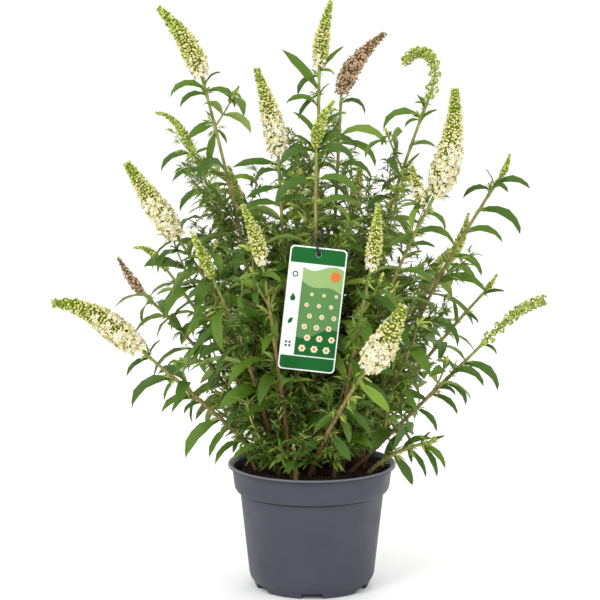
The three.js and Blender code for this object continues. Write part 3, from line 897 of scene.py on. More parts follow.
@cache
def stemming() -> Recipe:
    """Turns lines into closed round stems with a relief that runs along them.

    Returns:
        The tree.
    """
    kit = Recipe(
        "stemming",
        {
            "Sides": "NodeSocketInt",
            "Relief": "NodeSocketFloat",
            "Fissures": "NodeSocketFloat",
            "Finish": "NodeSocketMaterial",
        },
    )
    given = kit.given.outputs
    lines = kit.add("GeometryNodeMeshToCurve", {0: given["Geometry"]})
    ring = kit.add("GeometryNodeCurvePrimitiveCircle", {"Resolution": given["Sides"], "Radius": 1.0})
    stems = kit.add(
        "GeometryNodeCurveToMesh",
        {
            "Curve": lines.outputs[0],
            "Profile Curve": ring.outputs[0],
            "Scale": kit.value("girth", "FLOAT"),
            "Fill Caps": True,
        },
    )
    where = kit.add("GeometryNodeInputPosition").outputs[0]
    drawn = kit.add("ShaderNodeVectorMath", {0: where, 1: FISSURE_STRETCH}, operation="MULTIPLY")
    fissures = kit.add(
        "ShaderNodeTexNoise", {"Vector": drawn.outputs[0], "Scale": given["Fissures"], "Detail": 2.0}
    )
    swing = kit.sum_of("MULTIPLY", kit.sum_of("SUBTRACT", fissures.outputs[0], 0.5), given["Relief"])
    facing = kit.add("GeometryNodeInputNormal").outputs[0]
    push = kit.add("ShaderNodeVectorMath", {0: facing, "Scale": swing}, operation="SCALE")
    carved = kit.add("GeometryNodeSetPosition", {"Geometry": stems.outputs[0], "Offset": push.outputs[0]})
    smoothed = kit.add("GeometryNodeSetShadeSmooth", {"Geometry": carved.outputs[0]})
    real = kit.add("GeometryNodeRealizeInstances", {0: smoothed.outputs[0]})
    return kit.ended(kit.painted(real.outputs[0], "Finish"))


@cache
def scattering() -> Recipe:
    """Scatters templates over a surface, each turned and sized at random.

    Returns:
        The tree.
    """
    kit = Recipe(
        "scattering",
        {
            "Templates": "NodeSocketCollection",
            "Density": "NodeSocketFloat",
            "Smallest": "NodeSocketFloat",
            "Largest": "NodeSocketFloat",
            "Seed": "NodeSocketInt",
            "Finish": "NodeSocketMaterial",
        },
    )
    given = kit.given.outputs
    points = kit.add(
        "GeometryNodeDistributePointsOnFaces",
        {"Mesh": given["Geometry"], "Density": given["Density"], "Seed": given["Seed"]},
    )
    turn = kit.chance("FLOAT_VECTOR", (0.0, 0.0, 0.0), (math.tau, math.tau, math.tau))
    size = kit.chance("FLOAT", given["Smallest"], given["Largest"])
    choice = kit.chance("INT", 0, CRUMB_SHAPES - 1)
    real = kit.copies(points.outputs["Points"], choice, turn, size)
    return kit.ended(kit.painted(real, "Finish"))


# ---- templates


def template_set(name: str, meshes: list[Mesh]) -> Templates:
    """A collection of template objects, in the order of their numbers.

    Args:
        name: The set's name.
        meshes: The templates' meshes.

    Returns:
        The collection.
    """
    collection = bpy.data.collections.new(name)
    for number, mesh in enumerate(meshes):
        collection.objects.link(bpy.data.objects.new(f"{name}_{number:02d}", mesh))
    return collection


@dataclass(frozen=True)
class BladeSet:
    """Leaf blades of unit length, each with its own droop and twist."""

    name: str
    stations: tuple[float, ...]
    widths: tuple[float, ...]
    droops: tuple[float, ...]
    twists: tuple[float, ...]
    leans: tuple[float, ...] = ()
    leaning: float = 0.45
    aspect: float = 0.2
    fold: float = 20.0
    rib: float = 0.012
    rib_taper: float = 0.7
    ripple: float = 0.0

    def blade(self, number: int, droop: float, twist: float, lean: float) -> Mesh:
        """One blade along +Y that bends towards -Z, folded up along its midrib.

        Args:
            number: Its place among the templates.
            droop: Degrees that it bends down along its length.
            twist: Degrees that its tip is twisted against its foot.
            lean: Degrees that the whole blade is turned about its midrib.

        Returns:
            The mesh.
        """
        bend = math.radians(max(droop, 1.0))
        corners = [(0.0, 0.0, 0.0)]
        marks = [(0.5, 0.0)]
        lift = math.tan(math.radians(self.fold))
        for ring, (share, width) in enumerate(zip(self.stations, self.widths)):
            angle, half = bend * share, 0.5 * width
            centre = np.array([0.0, math.sin(angle), math.cos(angle) - 1.0]) / bend
            normal = np.array([0.0, math.sin(angle), math.cos(angle)])
            spin = math.radians(lean + twist * share)
            sideways = np.array([1.0, 0.0, 0.0])
            across = sideways * math.cos(spin) + normal * self.aspect * math.sin(spin)
            above = normal * self.aspect * math.cos(spin) - sideways * math.sin(spin)
            wave = self.ripple * (1.0 if ring % 2 else -1.0)
            edge = above * (half * lift)
            low = centre - normal * self.rib * (1.0 - self.rib_taper * share)
            corners += [
                tuple(centre - across * half + edge + normal * wave),
                tuple(centre),
                tuple(centre + across * half + edge - normal * wave),
                tuple(low),
            ]
            marks += [(0.0, share), (0.5, share), (1.0, share), (0.5, share)]
        tip = np.array([0.0, math.sin(bend), math.cos(bend) - 1.0]) / bend
        corners.append(tuple(tip))
        marks.append((0.5, 1.0))
        return self.finished(number, corners, marks)

    def finished(self, number: int, corners: list[Any], marks: list[Spot]) -> Mesh:
        """The mesh of a blade, with its map and its underside marked.

        Args:
            number: Its place among the templates.
            corners: Its foot, four corners for each station, and its tip.
            marks: The place of each corner on the map.

        Returns:
            The mesh.
        """
        rings, tip = len(self.stations), len(corners) - 1
        faces, under = [], []
        strips = ((0, 1, False), (1, 2, False), (2, 3, True), (3, 0, True))
        for left, right, below in strips:
            faces.append((0, 1 + right, 1 + left))
            edge_first = left % 2 == 0
            for ring in range(rings - 1):
                near, far = 1 + 4 * ring, 5 + 4 * ring
                third = far + (right if edge_first else left)
                fourth = near + (left if edge_first else right)
                faces.append((near + left, near + right, third))
                faces.append((fourth, far + right, far + left))
            last = 1 + 4 * (rings - 1)
            faces.append((last + left, last + right, tip))
            under += [below] * (2 * rings)
        mesh = Shape(corners, faces).mesh(f"{self.name}_{number:02d}", 1.0, 60.0)
        chart = mesh.uv_layers.new(name="blade")
        order = [i for face in faces for i in face]
        chart.uv.foreach_set("vector", [part for i in order for part in marks[i]])
        flags = mesh.attributes.new("under", "BOOLEAN", "FACE")
        flags.data.foreach_set("value", under)
        return mesh

    def collection(self) -> Templates:
        """Every droop with every twist and every lean."""
        turns = [(twist, 0.0) for twist in self.twists] + [(0.0, lean) for lean in self.leans]
        kinds = [(droop, *turn) for droop in self.droops for turn in turns]
        return template_set(self.name, [self.blade(i, *kind) for i, kind in enumerate(kinds)])

    @property
    def turns(self) -> int:
        """How many blades there are of each droop."""
        return len(self.twists) + len(self.leans)

    def choose(self, droops: Array, outwards: Array, leaning: float, rng: np.random.Generator) -> Array:
        """The number of a blade for each of some leaves.

        Args:
            droops: The bend that each leaf should have, in degrees.
            outwards: How far each leaf's own X axis points outwards.
            leaning: The share of leaves that turn their faces outwards.
            rng: The source of chance.

        Returns:
            The blade nearest to each droop, leaning outwards or twisted at random.
        """
        nearest = np.abs(droops[:, None] - np.array(self.droops)).argmin(axis=1)
        kinds = rng.integers(0, len(self.twists), len(droops))
        if self.leans:
            turned = rng.random(len(droops)) < leaning
            kinds = np.where(turned, len(self.twists) + (outwards < 0.0), kinds)
        return nearest * self.turns + kinds


LEAVES = BladeSet(
    "leaf",
    stations=(0.07, 0.2, 0.36, 0.54, 0.72, 0.88),
    widths=(0.26, 0.62, 0.93, 1.0, 0.82, 0.44),
    droops=(15.0, 45.0, 75.0, 105.0, 135.0),
    twists=(-24.0, 0.0, 24.0),
    leans=(-38.0, 38.0),
    ripple=0.006,
)
NARROW = BladeSet(
    "narrow_leaf",
    stations=(0.12, 0.4, 0.75),
    widths=(0.55, 1.0, 0.55),
    droops=(15.0, 45.0, 80.0),
    twists=(-20.0, 20.0),
    leans=(-38.0, 38.0),
    aspect=0.17,
)
TINY = BladeSet("tiny_leaf", stations=(0.42,), widths=(1.0,), droops=(10.0, 40.0), twists=(0.0,), rib=0.04)


def bud_shapes() -> Templates:
    """A round bud and a longer one, of unit length along +Z.

    Returns:
        The templates.
    """
    round_bud = [(0.0, 0.0), (0.3, 0.18), (0.42, 0.62), (0.0, 1.0)]
    long_bud = [(0.0, 0.0), (0.15, 0.3), (0.33, 0.72), (0.0, 1.0)]
    meshes = [
        turned(profile, 5).mesh(f"bud_{i:02d}", 1.0, 80.0)
        for i, profile in enumerate((round_bud, long_bud))
    ]
    return template_set("bud", meshes)


@dataclass(frozen=True)
class FloretSet:
    """Open four-lobed florets of unit radius, facing +Z, with the tube behind."""

    tube: float = 1.5
    notch: float = 0.3
    shoulder: float = 0.84
    spread: float = 30.0
    shoulder_rise: float = 0.8
    flatter: float = 0.6
    eye_depth: float = 0.06
    neck: float = 0.2
    neck_depth: float = 0.16
    cups: tuple[float, ...] = (-0.1, 0.12, 0.34)

    def floret(self, number: int, cup: float) -> Mesh:
        """One floret.

        Args:
            number: Its place among the templates.
            cup: How far its lobes rise at their ends.

        Returns:
            The mesh.
        """
        corners = [(0.0, 0.0, -self.eye_depth)]
        for lobe in range(4):
            middle = 90.0 * lobe
            lift = cup * (1.0 if lobe % 2 else self.flatter)
            for turn, radius, rise in (
                (-45.0, self.notch, 0.0), (-self.spread, self.shoulder, lift * self.shoulder_rise),
                (0.0, 1.0, lift), (self.spread, self.shoulder, lift * self.shoulder_rise),
            ):
                way = math.radians(middle + turn)
                corners.append((radius * math.cos(way), radius * math.sin(way), rise))
        neck, foot = len(corners), len(corners) + 4
        for lobe in range(4):
            way = math.radians(90.0 * lobe - 45.0)
            corners.append((self.neck * math.cos(way), self.neck * math.sin(way), -self.neck_depth))
        corners.append((0.0, 0.0, -self.tube))
        faces = []
        for lobe in range(4):
            first, after = 1 + 4 * lobe, 1 + (4 * lobe + 4) % 16
            rim = [first, first + 1, first + 2, first + 3, after]
            faces += [(0, a, b) for a, b in zip(rim, rim[1:])]
            left, right = neck + lobe, neck + (lobe + 1) % 4
            faces.append((*reversed(rim), left, right))
            faces.append((right, left, foot))
        return Shape(corners, faces).mesh(f"floret_{number:02d}", 1.0, 50.0)

    def collection(self) -> Templates:
        """Florets from flat to cupped."""
        return template_set("floret", [self.floret(i, cup) for i, cup in enumerate(self.cups)])


def throat_shapes() -> Templates:
    """The small coloured eye of a floret, of the floret's unit radius."""
    eye = [(0.0, -0.1), (0.17, 0.0), (0.0, 0.05)]
    return template_set("eye", [turned(eye, 4).mesh("eye_00", 1.0, 80.0)])


CRUMB_SHAPES = 5
FLATTEST, FLAT_STEP = 0.45, 0.12
ROUGHNESS, ROUGH_SCALE = 0.5, 1.3


def crumb_shapes() -> Templates:
    """Irregular crumbs of unit radius, from flat to round.

    Returns:
        The templates.
    """
    meshes = []
    for number in range(CRUMB_SHAPES):
        squash = FLATTEST + FLAT_STEP * number
        crumb = turned([(0.0, -1.0), (0.8, -0.5), (0.95, 0.35), (0.0, 0.9)], 5)
        offset = Vector((3.0 * number, 0.0, 0.0))
        rough = []
        for corner in crumb.corners:
            point = Vector(corner)
            point *= 1.0 + ROUGHNESS * noise.noise(point * ROUGH_SCALE + offset)
            rough.append((point.x, point.y * squash, point.z))
        meshes.append(Shape(rough, crumb.faces).mesh(f"crumb_{number:02d}", 1.0, 40.0))
    return template_set("crumb", meshes)


@dataclass
class Deal:
    """Where copies of a set of templates go."""

    roots: list[Array] = field(default_factory=list)
    turns: list[Array] = field(default_factory=list)
    sizes: list[Array] = field(default_factory=list)
    choices: list[Array] = field(default_factory=list)

    def add(self, roots: Array, frames: Array, sizes: Array, choices: Array) -> None:
        """Adds places for copies.

        Args:
            roots: Where each copy starts, in millimetres.
            frames: The axes of each copy.
            sizes: Its size along each axis, in millimetres.
            choices: The number of its template.
        """
        self.roots.append(roots)
        self.turns.append(euler_angles(frames))
        self.sizes.append(sizes)
        self.choices.append(choices)

    def seedling(self, name: str) -> Piece:
        """An object of loose points that hold the places.

        Args:
            name: Its name.

        Returns:
            The object.
        """
        roots = np.concatenate(self.roots) * MM
        mesh = bpy.data.meshes.new(name)
        mesh.vertices.add(len(roots))
        mesh.vertices.foreach_set("co", roots.astype(np.float32).ravel())
        for label, kind, key, values in (
            ("turn", "FLOAT_VECTOR", "vector", np.concatenate(self.turns)),
            ("size", "FLOAT_VECTOR", "vector", np.concatenate(self.sizes) * MM),
            ("choice", "INT", "value", np.concatenate(self.choices)),
        ):
            layer = mesh.attributes.new(label, kind, "POINT")
            number = np.int32 if kind == "INT" else np.float32
            layer.data.foreach_set(key, values.astype(number).ravel())
        return add_object(name, mesh)

    def dealt(self, name: str, templates: Templates, face: Finish, back: Finish | None = None) -> Piece:
        """Makes all the copies.

        Args:
            name: The piece's name.
            templates: The set that the numbers choose from.
            face: The finish of the copies.
            back: The finish of their undersides, where that is another one.

        Returns:
            The finished piece.
        """
        values = {
            "Templates": templates,
            "Face finish": face.material(),
            "Back finish": (back or face).material(),
        }
        return dealing().grown(self.seedling(f"{name}_places"), name, values)


# ---- canes


class Bloom(Enum):
    """How far a flower spike has come."""

    WHITE = "white"
    CREAM = "cream"
    GREEN = "green"
    BROWN = "brown"


BOW = 0.45  # where a cane's knee stands, as a share of the way to its neck
BARE_SHARE, BARE_MOST = 0.3, 95.0
FOOT_RADIUS, NECK_RADIUS = 2.8, 1.7
STEM_POINTS, SPIKE_POINTS = 60, 40


class Axis:
    """A line that leaves and flowers spring from, in millimetres."""

    def __init__(self, trace: Array, heading: float) -> None:
        """Takes the line's points and the heading that it faces, in degrees."""
        self.trace = trace
        strides = np.linalg.norm(np.diff(trace, axis=0), axis=1)
        self.along = np.concatenate([[0.0], np.cumsum(strides)])
        self.length = float(self.along[-1])
        way = math.radians(heading)
        self.side = np.array([-math.sin(way), math.cos(way), 0.0])

    def at(self, distance: Any) -> Array:
        """Points on the line at distances along it."""
        axes = [np.interp(distance, self.along, self.trace[:, axis]) for axis in range(3)]
        return np.stack(axes, axis=-1)

    def ahead(self, distance: Any) -> Array:
        """The line's direction at distances along it."""
        step = 2.0
        where = np.clip(np.asarray(distance, float), step, self.length - step)
        return unit(self.at(where + step) - self.at(where - step))

    def across(self, distance: float) -> tuple[Array, Array]:
        """Two unit vectors square to the line and to each other.

        Args:
            distance: Where along the line.

        Returns:
            The vector to the side and the one in depth.
        """
        ahead = self.ahead(distance)
        depth = unit(np.cross(self.side, ahead))
        return np.cross(ahead, depth), depth

    def outward(self, distance: float, angle: float, rise: float) -> Array:
        """The way that something springs from the line, at an angle round it.

        Args:
            distance: Where along the line.
            angle: Radians round the line.
            rise: Degrees above square to the line.

        Returns:
            A unit vector.
        """
        width, depth = self.across(distance)
        out = width * math.cos(angle) + depth * math.sin(angle)
        lift = math.radians(rise)
        return unit(out * math.cos(lift) + self.ahead(distance) * math.sin(lift))


@dataclass(eq=False)
class Cane(Axis):
    """A bowed stem that stands on the potting mix and ends in a flower spike.

    Attributes:
        name: The end of the names of its solids.
        heading: The compass angle of its spike's foot, 0 to the right, 90 behind.
        reach: How far that is from the pot's axis.
        rise: How high it is.
        foot: How far from the axis the cane is rooted.
        lean: The stem's first angle from upright.
        spike: The length of the flower spike.
        girth: Its largest radius.
        nod: The angle from upright of its tip.
        turn: The compass angle of its tip.
        bloom: How far it has come.
        rooted: The compass angle of the root, where it isn't the heading.
        curl: How late along the spike it turns.
        bare_share: The share of the stem below the lowest leaves, none for a rim shoot.
        loose: Whether its buds stand in knots apart.
    """

    name: str
    heading: float
    reach: float
    rise: float
    foot: float
    lean: float
    spike: float
    girth: float
    nod: float
    turn: float
    bloom: Bloom
    rooted: float | None = None
    curl: float = 1.0
    bare_share: float = BARE_SHARE
    loose: bool = False

    def __post_init__(self) -> None:
        """Works out the cane's line."""
        root = place(self.foot, self.heading if self.rooted is None else self.rooted, SOIL_LEVEL)
        neck = place(self.reach, self.heading, self.rise)
        knee = root + leaning(self.lean, self.heading) * np.linalg.norm(neck - root) * BOW
        share = np.linspace(0.0, 1.0, STEM_POINTS)[:, None]
        stem = (1 - share) ** 2 * root + 2 * share * (1 - share) * knee + share**2 * neck
        shares = ((np.arange(SPIKE_POINTS) + 0.5) / SPIKE_POINTS) ** self.curl
        ways = arc_between(unit(neck - knee), leaning(self.nod, self.turn), shares)
        tip = neck + np.cumsum(ways, axis=0) * self.spike / SPIKE_POINTS
        super().__init__(np.concatenate([stem, tip]), self.heading)
        self.stem_length = self.length - self.spike
        self.bare_length = min(self.bare_share * self.stem_length, BARE_MOST)
        self.is_shoot = self.bare_share == 0.0

    def radius(self, distance: Any) -> Any:
        """The stem's radius at distances along it."""
        share = np.clip(np.asarray(distance) / self.stem_length, 0.0, 1.0)
        return FOOT_RADIUS + (NECK_RADIUS - FOOT_RADIUS) * share


W, C, G, B = Bloom.WHITE, Bloom.CREAM, Bloom.GREEN, Bloom.BROWN


def front_canes() -> list[Cane]:
    """The canes that show from the front.

    Returns:
        Canes, each from its heading, reach, rise, foot and lean, and then its spike's
        length, girth, nod, turn and bloom.
    """
    return [
        Cane("tall_left", 161, 136, 596, 40, 6, 96, 15, 48, 165, C, rooted=172, curl=0.8),
        Cane("tall_middle", 82, 61, 607, 27, 3, 77, 12, 17, 20, C, curl=0.6),
        Cane("faded_back", 72, 115, 573, 50, 7, 91, 13.5, 53, 2, B, curl=0.5),
        Cane("cream_centre", 158, 42, 505, 27, 1, 104, 15, 20, 193, W, curl=0.5),
        Cane("bud_centre", 273, 76, 522, 27, 9, 56, 9, 42, 342, G),
        Cane("hooked_right", 14, 140, 572, 30, 5, 98, 8, 154, 180, G, curl=1.6, loose=True),
        Cane("white_right", 345, 144, 465, 36, 6, 123, 18, 2, 180, W, rooted=350, curl=0.7),
        Cane("far_right", 1, 218, 483, 60, 14, 26, 5.5, 9, 0, G),
        Cane("low_right", 343, 203, 298, 48, 45, 90, 7.5, 82, 348, G, rooted=337, curl=2.8, loose=True),
        Cane("small_right", 21, 222, 337, 54, 32, 25, 5, 30, 20, G),
        Cane("green_right", 37, 209, 368, 50, 20, 65, 8, 9, 10, G),
        Cane("white_left", 184, 156, 414, 30, 12, 105, 16.5, 33, 185, W, curl=0.6),
        Cane("curved_left", 150, 202, 361, 58, 18, 56, 6.5, 114, 160, G, rooted=152, curl=2.6),
        Cane("brown_left", 167, 205, 340, 54, 20, 53, 7.5, 28, 170, B, curl=0.5),
        Cane("white_low_left", 197, 206, 292, 42, 45, 115, 18, 94, 188, W, rooted=199, curl=2.8),
        Cane("green_front_left", 217, 140, 377, 48, 13, 60, 8, 26, 205, G),
        Cane("cream_front_left", 242, 120, 397, 50, 12, 70, 10.5, 30, 205, C),
        Cane("cream_front_right", 300, 129, 392, 50, 14, 72, 10.5, 1, 300, C),
        Cane("white_front", 293, 160, 288, 42, 36, 86, 19, 24, 345, W, rooted=265),
        Cane("curved_upper_left", 144, 177, 504, 44, 5, 72, 7, 94, 163, G, rooted=150, curl=2.4),
    ]


BACK_CANES = 6
BACK_HEADINGS = (48.0, 134.0)


def back_canes() -> list[Cane]:
    """The canes that fan over the far side, alternately low and tall.

    Returns:
        The canes.
    """
    canes, (first, last) = [], BACK_HEADINGS
    for number in range(BACK_CANES):
        heading = first + (last - first) * number / (BACK_CANES - 1)
        name = f"back_{number + 1}"
        if number % 2:
            canes.append(Cane(name, heading, 120, 430, 36, 10, 60, 9.5, 24, heading, C))
        else:
            canes.append(Cane(name, heading, 205, 330, 60, 26, 70, 10, 52, heading, G))
    return canes


def rim_shoots() -> list[Cane]:
    """Young leafy shoots at the rim of the pot.

    Returns:
        The shoots.
    """
    return [
        Cane("front", 252, 66, 172, 60, 4, 9, 3, 10, 250, G, bare_share=0.0),
        Cane("right", 342, 140, 179, 70, 40, 12, 3.5, 40, 345, G, bare_share=0.0),
        Cane("left", 186, 86, 186, 66, 20, 9, 3, 30, 186, G, bare_share=0.0),
    ]


@dataclass(frozen=True)
class SideBud:
    """A side shoot that ends in a small spike of buds.

    Attributes:
        cane: The name of its cane.
        share: Where it leaves that, as a share of the stem.
        run: Where it ends, from there.
        spike: The length of its spike.
        girth: The spike's largest radius.
        bloom: How far it has come.
    """

    cane: str
    share: float
    run: tuple[float, float, float]
    spike: float
    girth: float
    bloom: Bloom = Bloom.GREEN


SIDE_BUDS = (
    SideBud("tall_left", 0.87, (35.0, -8.0, 42.0), 17.0, 4.5),
    SideBud("tall_middle", 0.72, (-24.0, -12.0, 46.0), 9.0, 3.0),
    SideBud("cream_centre", 0.84, (27.0, 6.0, 44.0), 26.0, 6.0),
    SideBud("hooked_right", 0.8, (-26.0, -10.0, 46.0), 10.0, 3.0),
    SideBud("white_right", 0.93, (-20.0, -6.0, 54.0), 46.0, 8.5, Bloom.WHITE),
    SideBud("white_left", 0.82, (24.0, -14.0, 40.0), 10.0, 3.2),
    SideBud("cream_front_left", 0.8, (-22.0, -16.0, 44.0), 10.0, 3.2),
    SideBud("cream_front_right", 0.78, (25.0, -12.0, 46.0), 11.0, 3.2),
    SideBud("low_right", 0.6, (14.0, -20.0, 52.0), 10.0, 3.2),
    SideBud("white_low_left", 0.62, (-8.0, -22.0, 50.0), 10.0, 3.2),
)


# The leading leaves of each cane: where each springs as a share of the stem, the way it
# leaves as degrees in the front view from the right, its length, how far it bends down
# in degrees, and its width. Above the lowest of them a cane has no other large leaves.
LEADING = {
    "tall_left": (
        (0.955, 118, 54, 145, 8), (0.95, 149, 40, 140, 8), (0.955, 43, 48, 140, 10), (0.97, 79, 31, 65, 7),
        (0.88, 181, 42, 100, 8), (0.875, 199, 41, 30, 7), (0.885, 110, 18, 40, 6), (0.86, 250, 42, 30, 15),
        (0.865, -30, 22, 60, 6), (0.735, 100, 76, 150, 13), (0.73, 40, 42, 100, 9), (0.72, 160, 44, 100, 9),
    ),
    "tall_middle": (
        (0.985, 54, 43, 30, 9), (0.975, 171, 39, 100, 10), (0.94, 125, 66, 15, 12),
        (0.895, 117, 48, 120, 7), (0.93, 208, 39, 60, 5), (0.92, 75, 24, 60, 5),
        (0.81, 108, 49, 50, 9), (0.8, 50, 54, 108, 10), (0.985, 40, 22, 110, 5),
    ),
    "faded_back": (
        (0.97, 44, 41, 130, 6), (0.88, 44, 68, 114, 10), (0.88, 140, 40, 110, 8), (0.8, 30, 52, 100, 10),
        (0.95, 215, 44, 30, 11), (0.93, 250, 40, 20, 12), (0.86, 20, 60, 105, 11), (0.84, 165, 46, 95, 10),
    ),
    "bud_centre": (
        (0.985, 150, 52, 110, 12), (0.98, 118, 38, 60, 10), (0.985, 42, 52, 100, 10),
        (0.97, 76, 44, 60, 10), (0.9, 30, 60, 105, 11), (0.9, 160, 62, 100, 12),
        (0.83, 140, 48, 80, 10), (0.82, 45, 50, 90, 10),
    ),
    "cream_centre": (
        (0.97, -45, 32, 30, 10), (0.97, 160, 56, 60, 10), (0.95, 150, 36, 110, 7), (0.93, 35, 40, 110, 8),
        (0.9, 175, 44, 60, 10), (0.85, 30, 52, 100, 11), (0.84, 150, 50, 90, 10),
    ),
    "curved_upper_left": (
        (0.985, 155, 52, 103, 7), (0.985, 45, 26, 60, 7), (0.96, 35, 38, 110, 8), (0.935, 167, 42, 90, 8),
        (0.93, 165, 28, 40, 6), (0.92, 22, 44, 110, 11), (0.86, 160, 50, 110, 9), (0.85, 40, 46, 110, 8),
    ),
    "hooked_right": (
        (0.94, 133, 60, 150, 9), (0.935, 150, 23, 100, 6), (0.965, 95, 21, 40, 6), (0.935, 54, 25, 60, 6),
        (0.98, 150, 15, 60, 5), (0.865, 37, 31, 90, 10), (0.78, 60, 39, 20, 10), (0.78, 30, 30, 90, 8),
        (0.78, 184, 31, 88, 7), (0.72, 150, 40, 110, 9),
    ),
    "white_right": (
        (0.98, 45, 22, 90, 6), (0.93, 10, 35, 95, 10), (0.85, 35, 57, 105, 9),
        (0.85, 185, 36, 60, 10), (0.8, 40, 34, 80, 6), (0.7, 40, 50, 120, 8),
    ),
    "far_right": (
        (0.95, 59, 53, 116, 8), (0.93, 83, 41, 140, 8), (0.96, 100, 29, 40, 6), (0.945, 140, 40, 110, 7),
        (0.965, 54, 22, 60, 6), (0.87, 26, 64, 110, 11), (0.79, 40, 53, 95, 10), (0.71, 22, 48, 135, 10),
        (0.605, 47, 69, 117, 10), (0.47, 41, 71, 127, 10),
    ),
    "small_right": ((0.98, 35, 30, 60, 6), (0.86, 5, 22, 70, 5), (0.8, 95, 36, 25, 10)),
    "low_right": (
        (0.98, 24, 24, 97, 5), (0.84, 17, 59, 110, 12), (0.74, 62, 56, 135, 8), (0.7, 9, 42, 109, 9),
        (0.61, 68, 37, 145, 7), (0.61, 0, 42, 86, 8), (0.79, 110, 25, 50, 6), (0.5, -10, 38, 70, 9),
    ),
    "white_low_left": (
        (0.92, 182, 39, 84, 7), (0.93, 78, 26, 50, 7), (0.93, 100, 20, 20, 6), (0.74, 161, 71, 120, 12),
        (0.75, 222, 31, 60, 8), (0.57, 145, 55, 115, 8), (0.55, 160, 31, 100, 6), (0.42, 190, 66, 110, 18),
        (0.36, 215, 46, 40, 11), (0.64, 205, 34, 60, 7),
    ),
    "white_front": (
        (0.58, 200, 41, 50, 11), (0.56, -50, 40, 35, 12), (0.72, -60, 18, 25, 7), (0.84, -26, 50, 55, 13),
        (0.88, 40, 31, 40, 8), (0.9, 115, 28, 15, 10), (0.5, 30, 48, 70, 13), (0.4, -40, 44, 50, 13),
        (0.35, 200, 44, 50, 13), (0.62, -25, 50, 40, 11),
    ),
    "right": (
        (0.45, -41, 46, 40, 13), (0.68, -35, 43, 45, 10), (0.7, -70, 18, 15, 6), (0.3, 70, 44, 60, 13),
        (0.45, 95, 40, 60, 12), (0.6, 60, 40, 70, 12), (0.75, 100, 30, 60, 10), (0.2, -30, 30, 60, 10),
        (0.88, -40, 44, 40, 9), (0.88, -5, 43, 65, 9), (0.88, 60, 21, 20, 9), (1.0, 30, 22, 20, 6),
    ),
    "left": ((0.75, 185, 48, 82, 7), (0.9, 240, 24, 25, 9), (0.6, -60, 24, 25, 10)),
}


# ---- lines


def smooth_line(knots: Array, count: int) -> Array:
    """A smooth line through knots.

    Args:
        knots: Points that it passes.
        count: How many points the line has.

    Returns:
        The points, evenly spread between the knots.
    """
    padded = np.concatenate([[2 * knots[0] - knots[1]], knots, [2 * knots[-1] - knots[-2]]])
    where = np.linspace(0.0, len(knots) - 1.0, count)
    span = np.minimum(where.astype(int), len(knots) - 2)
    t = (where - span)[:, None]
    a, b, c, d = (padded[span + i] for i in range(4))
    square, cube = 2 * a - 5 * b + 4 * c - d, 3 * b - a - 3 * c + d
    return 0.5 * (2 * b + (c - a) * t + square * t**2 + cube * t**3)


@dataclass
class Lines:
    """Centre lines of stems, with their radii and ages."""

    points: list[Array] = field(default_factory=list)
    radii: list[Array] = field(default_factory=list)
    ages: list[Array] = field(default_factory=list)

    def add(self, points: Array, radii: Array, age: Any) -> None:
        """Adds one line.

        Args:
            points: Its points, in millimetres.
            radii: The stem's radius at each.
            age: From 0, woody, to 1, green: for the line or for each point.
        """
        self.points.append(points)
        self.radii.append(radii)
        self.ages.append(np.broadcast_to(np.asarray(age, float), (len(points),)))

    def grown(self, name: str, finish: Finish, sides: int, relief: float, fissures: float = 420.0) -> Piece:
        """Makes the stems.

        Args:
            name: The piece's name.
            finish: Its finish.
            sides: How many sides a stem has.
            relief: How far its surface swings, in millimetres.
            fissures: How fine its fissures are.

        Returns:
            All the stems as one piece of closed bodies.
        """
        points = np.concatenate(self.points) * MM
        edges, first = [], 0
        for line in self.points:
            edges += [(first + i, first + i + 1) for i in range(len(line) - 1)]
            first += len(line)
        mesh = bpy.data.meshes.new(name)
        mesh.from_pydata(points.tolist(), edges, [])
        radii, ages = np.concatenate(self.radii) * MM, np.concatenate(self.ages)
        for label, values in (("girth", radii), ("age", ages)):
            layer = mesh.attributes.new(label, "FLOAT", "POINT")
            layer.data.foreach_set("value", values.astype(np.float32))
        values = {"Sides": sides, "Relief": relief * MM, "Fissures": fissures, "Finish": finish.material()}
        return stemming().grown(add_object(f"{name}_lines", mesh), name, values)


# ---- flower spikes


@dataclass(frozen=True)
class Ripeness:
    """Shares of a spike's length up to which its florets are open and its buds cream."""

    opened: float
    cream: float


RIPENESS = {
    Bloom.WHITE: Ripeness(0.5, 0.78),
    Bloom.CREAM: Ripeness(0.13, 0.62),
    Bloom.GREEN: Ripeness(-1.0, -1.0),
    Bloom.BROWN: Ripeness(0.62, 2.0),
}


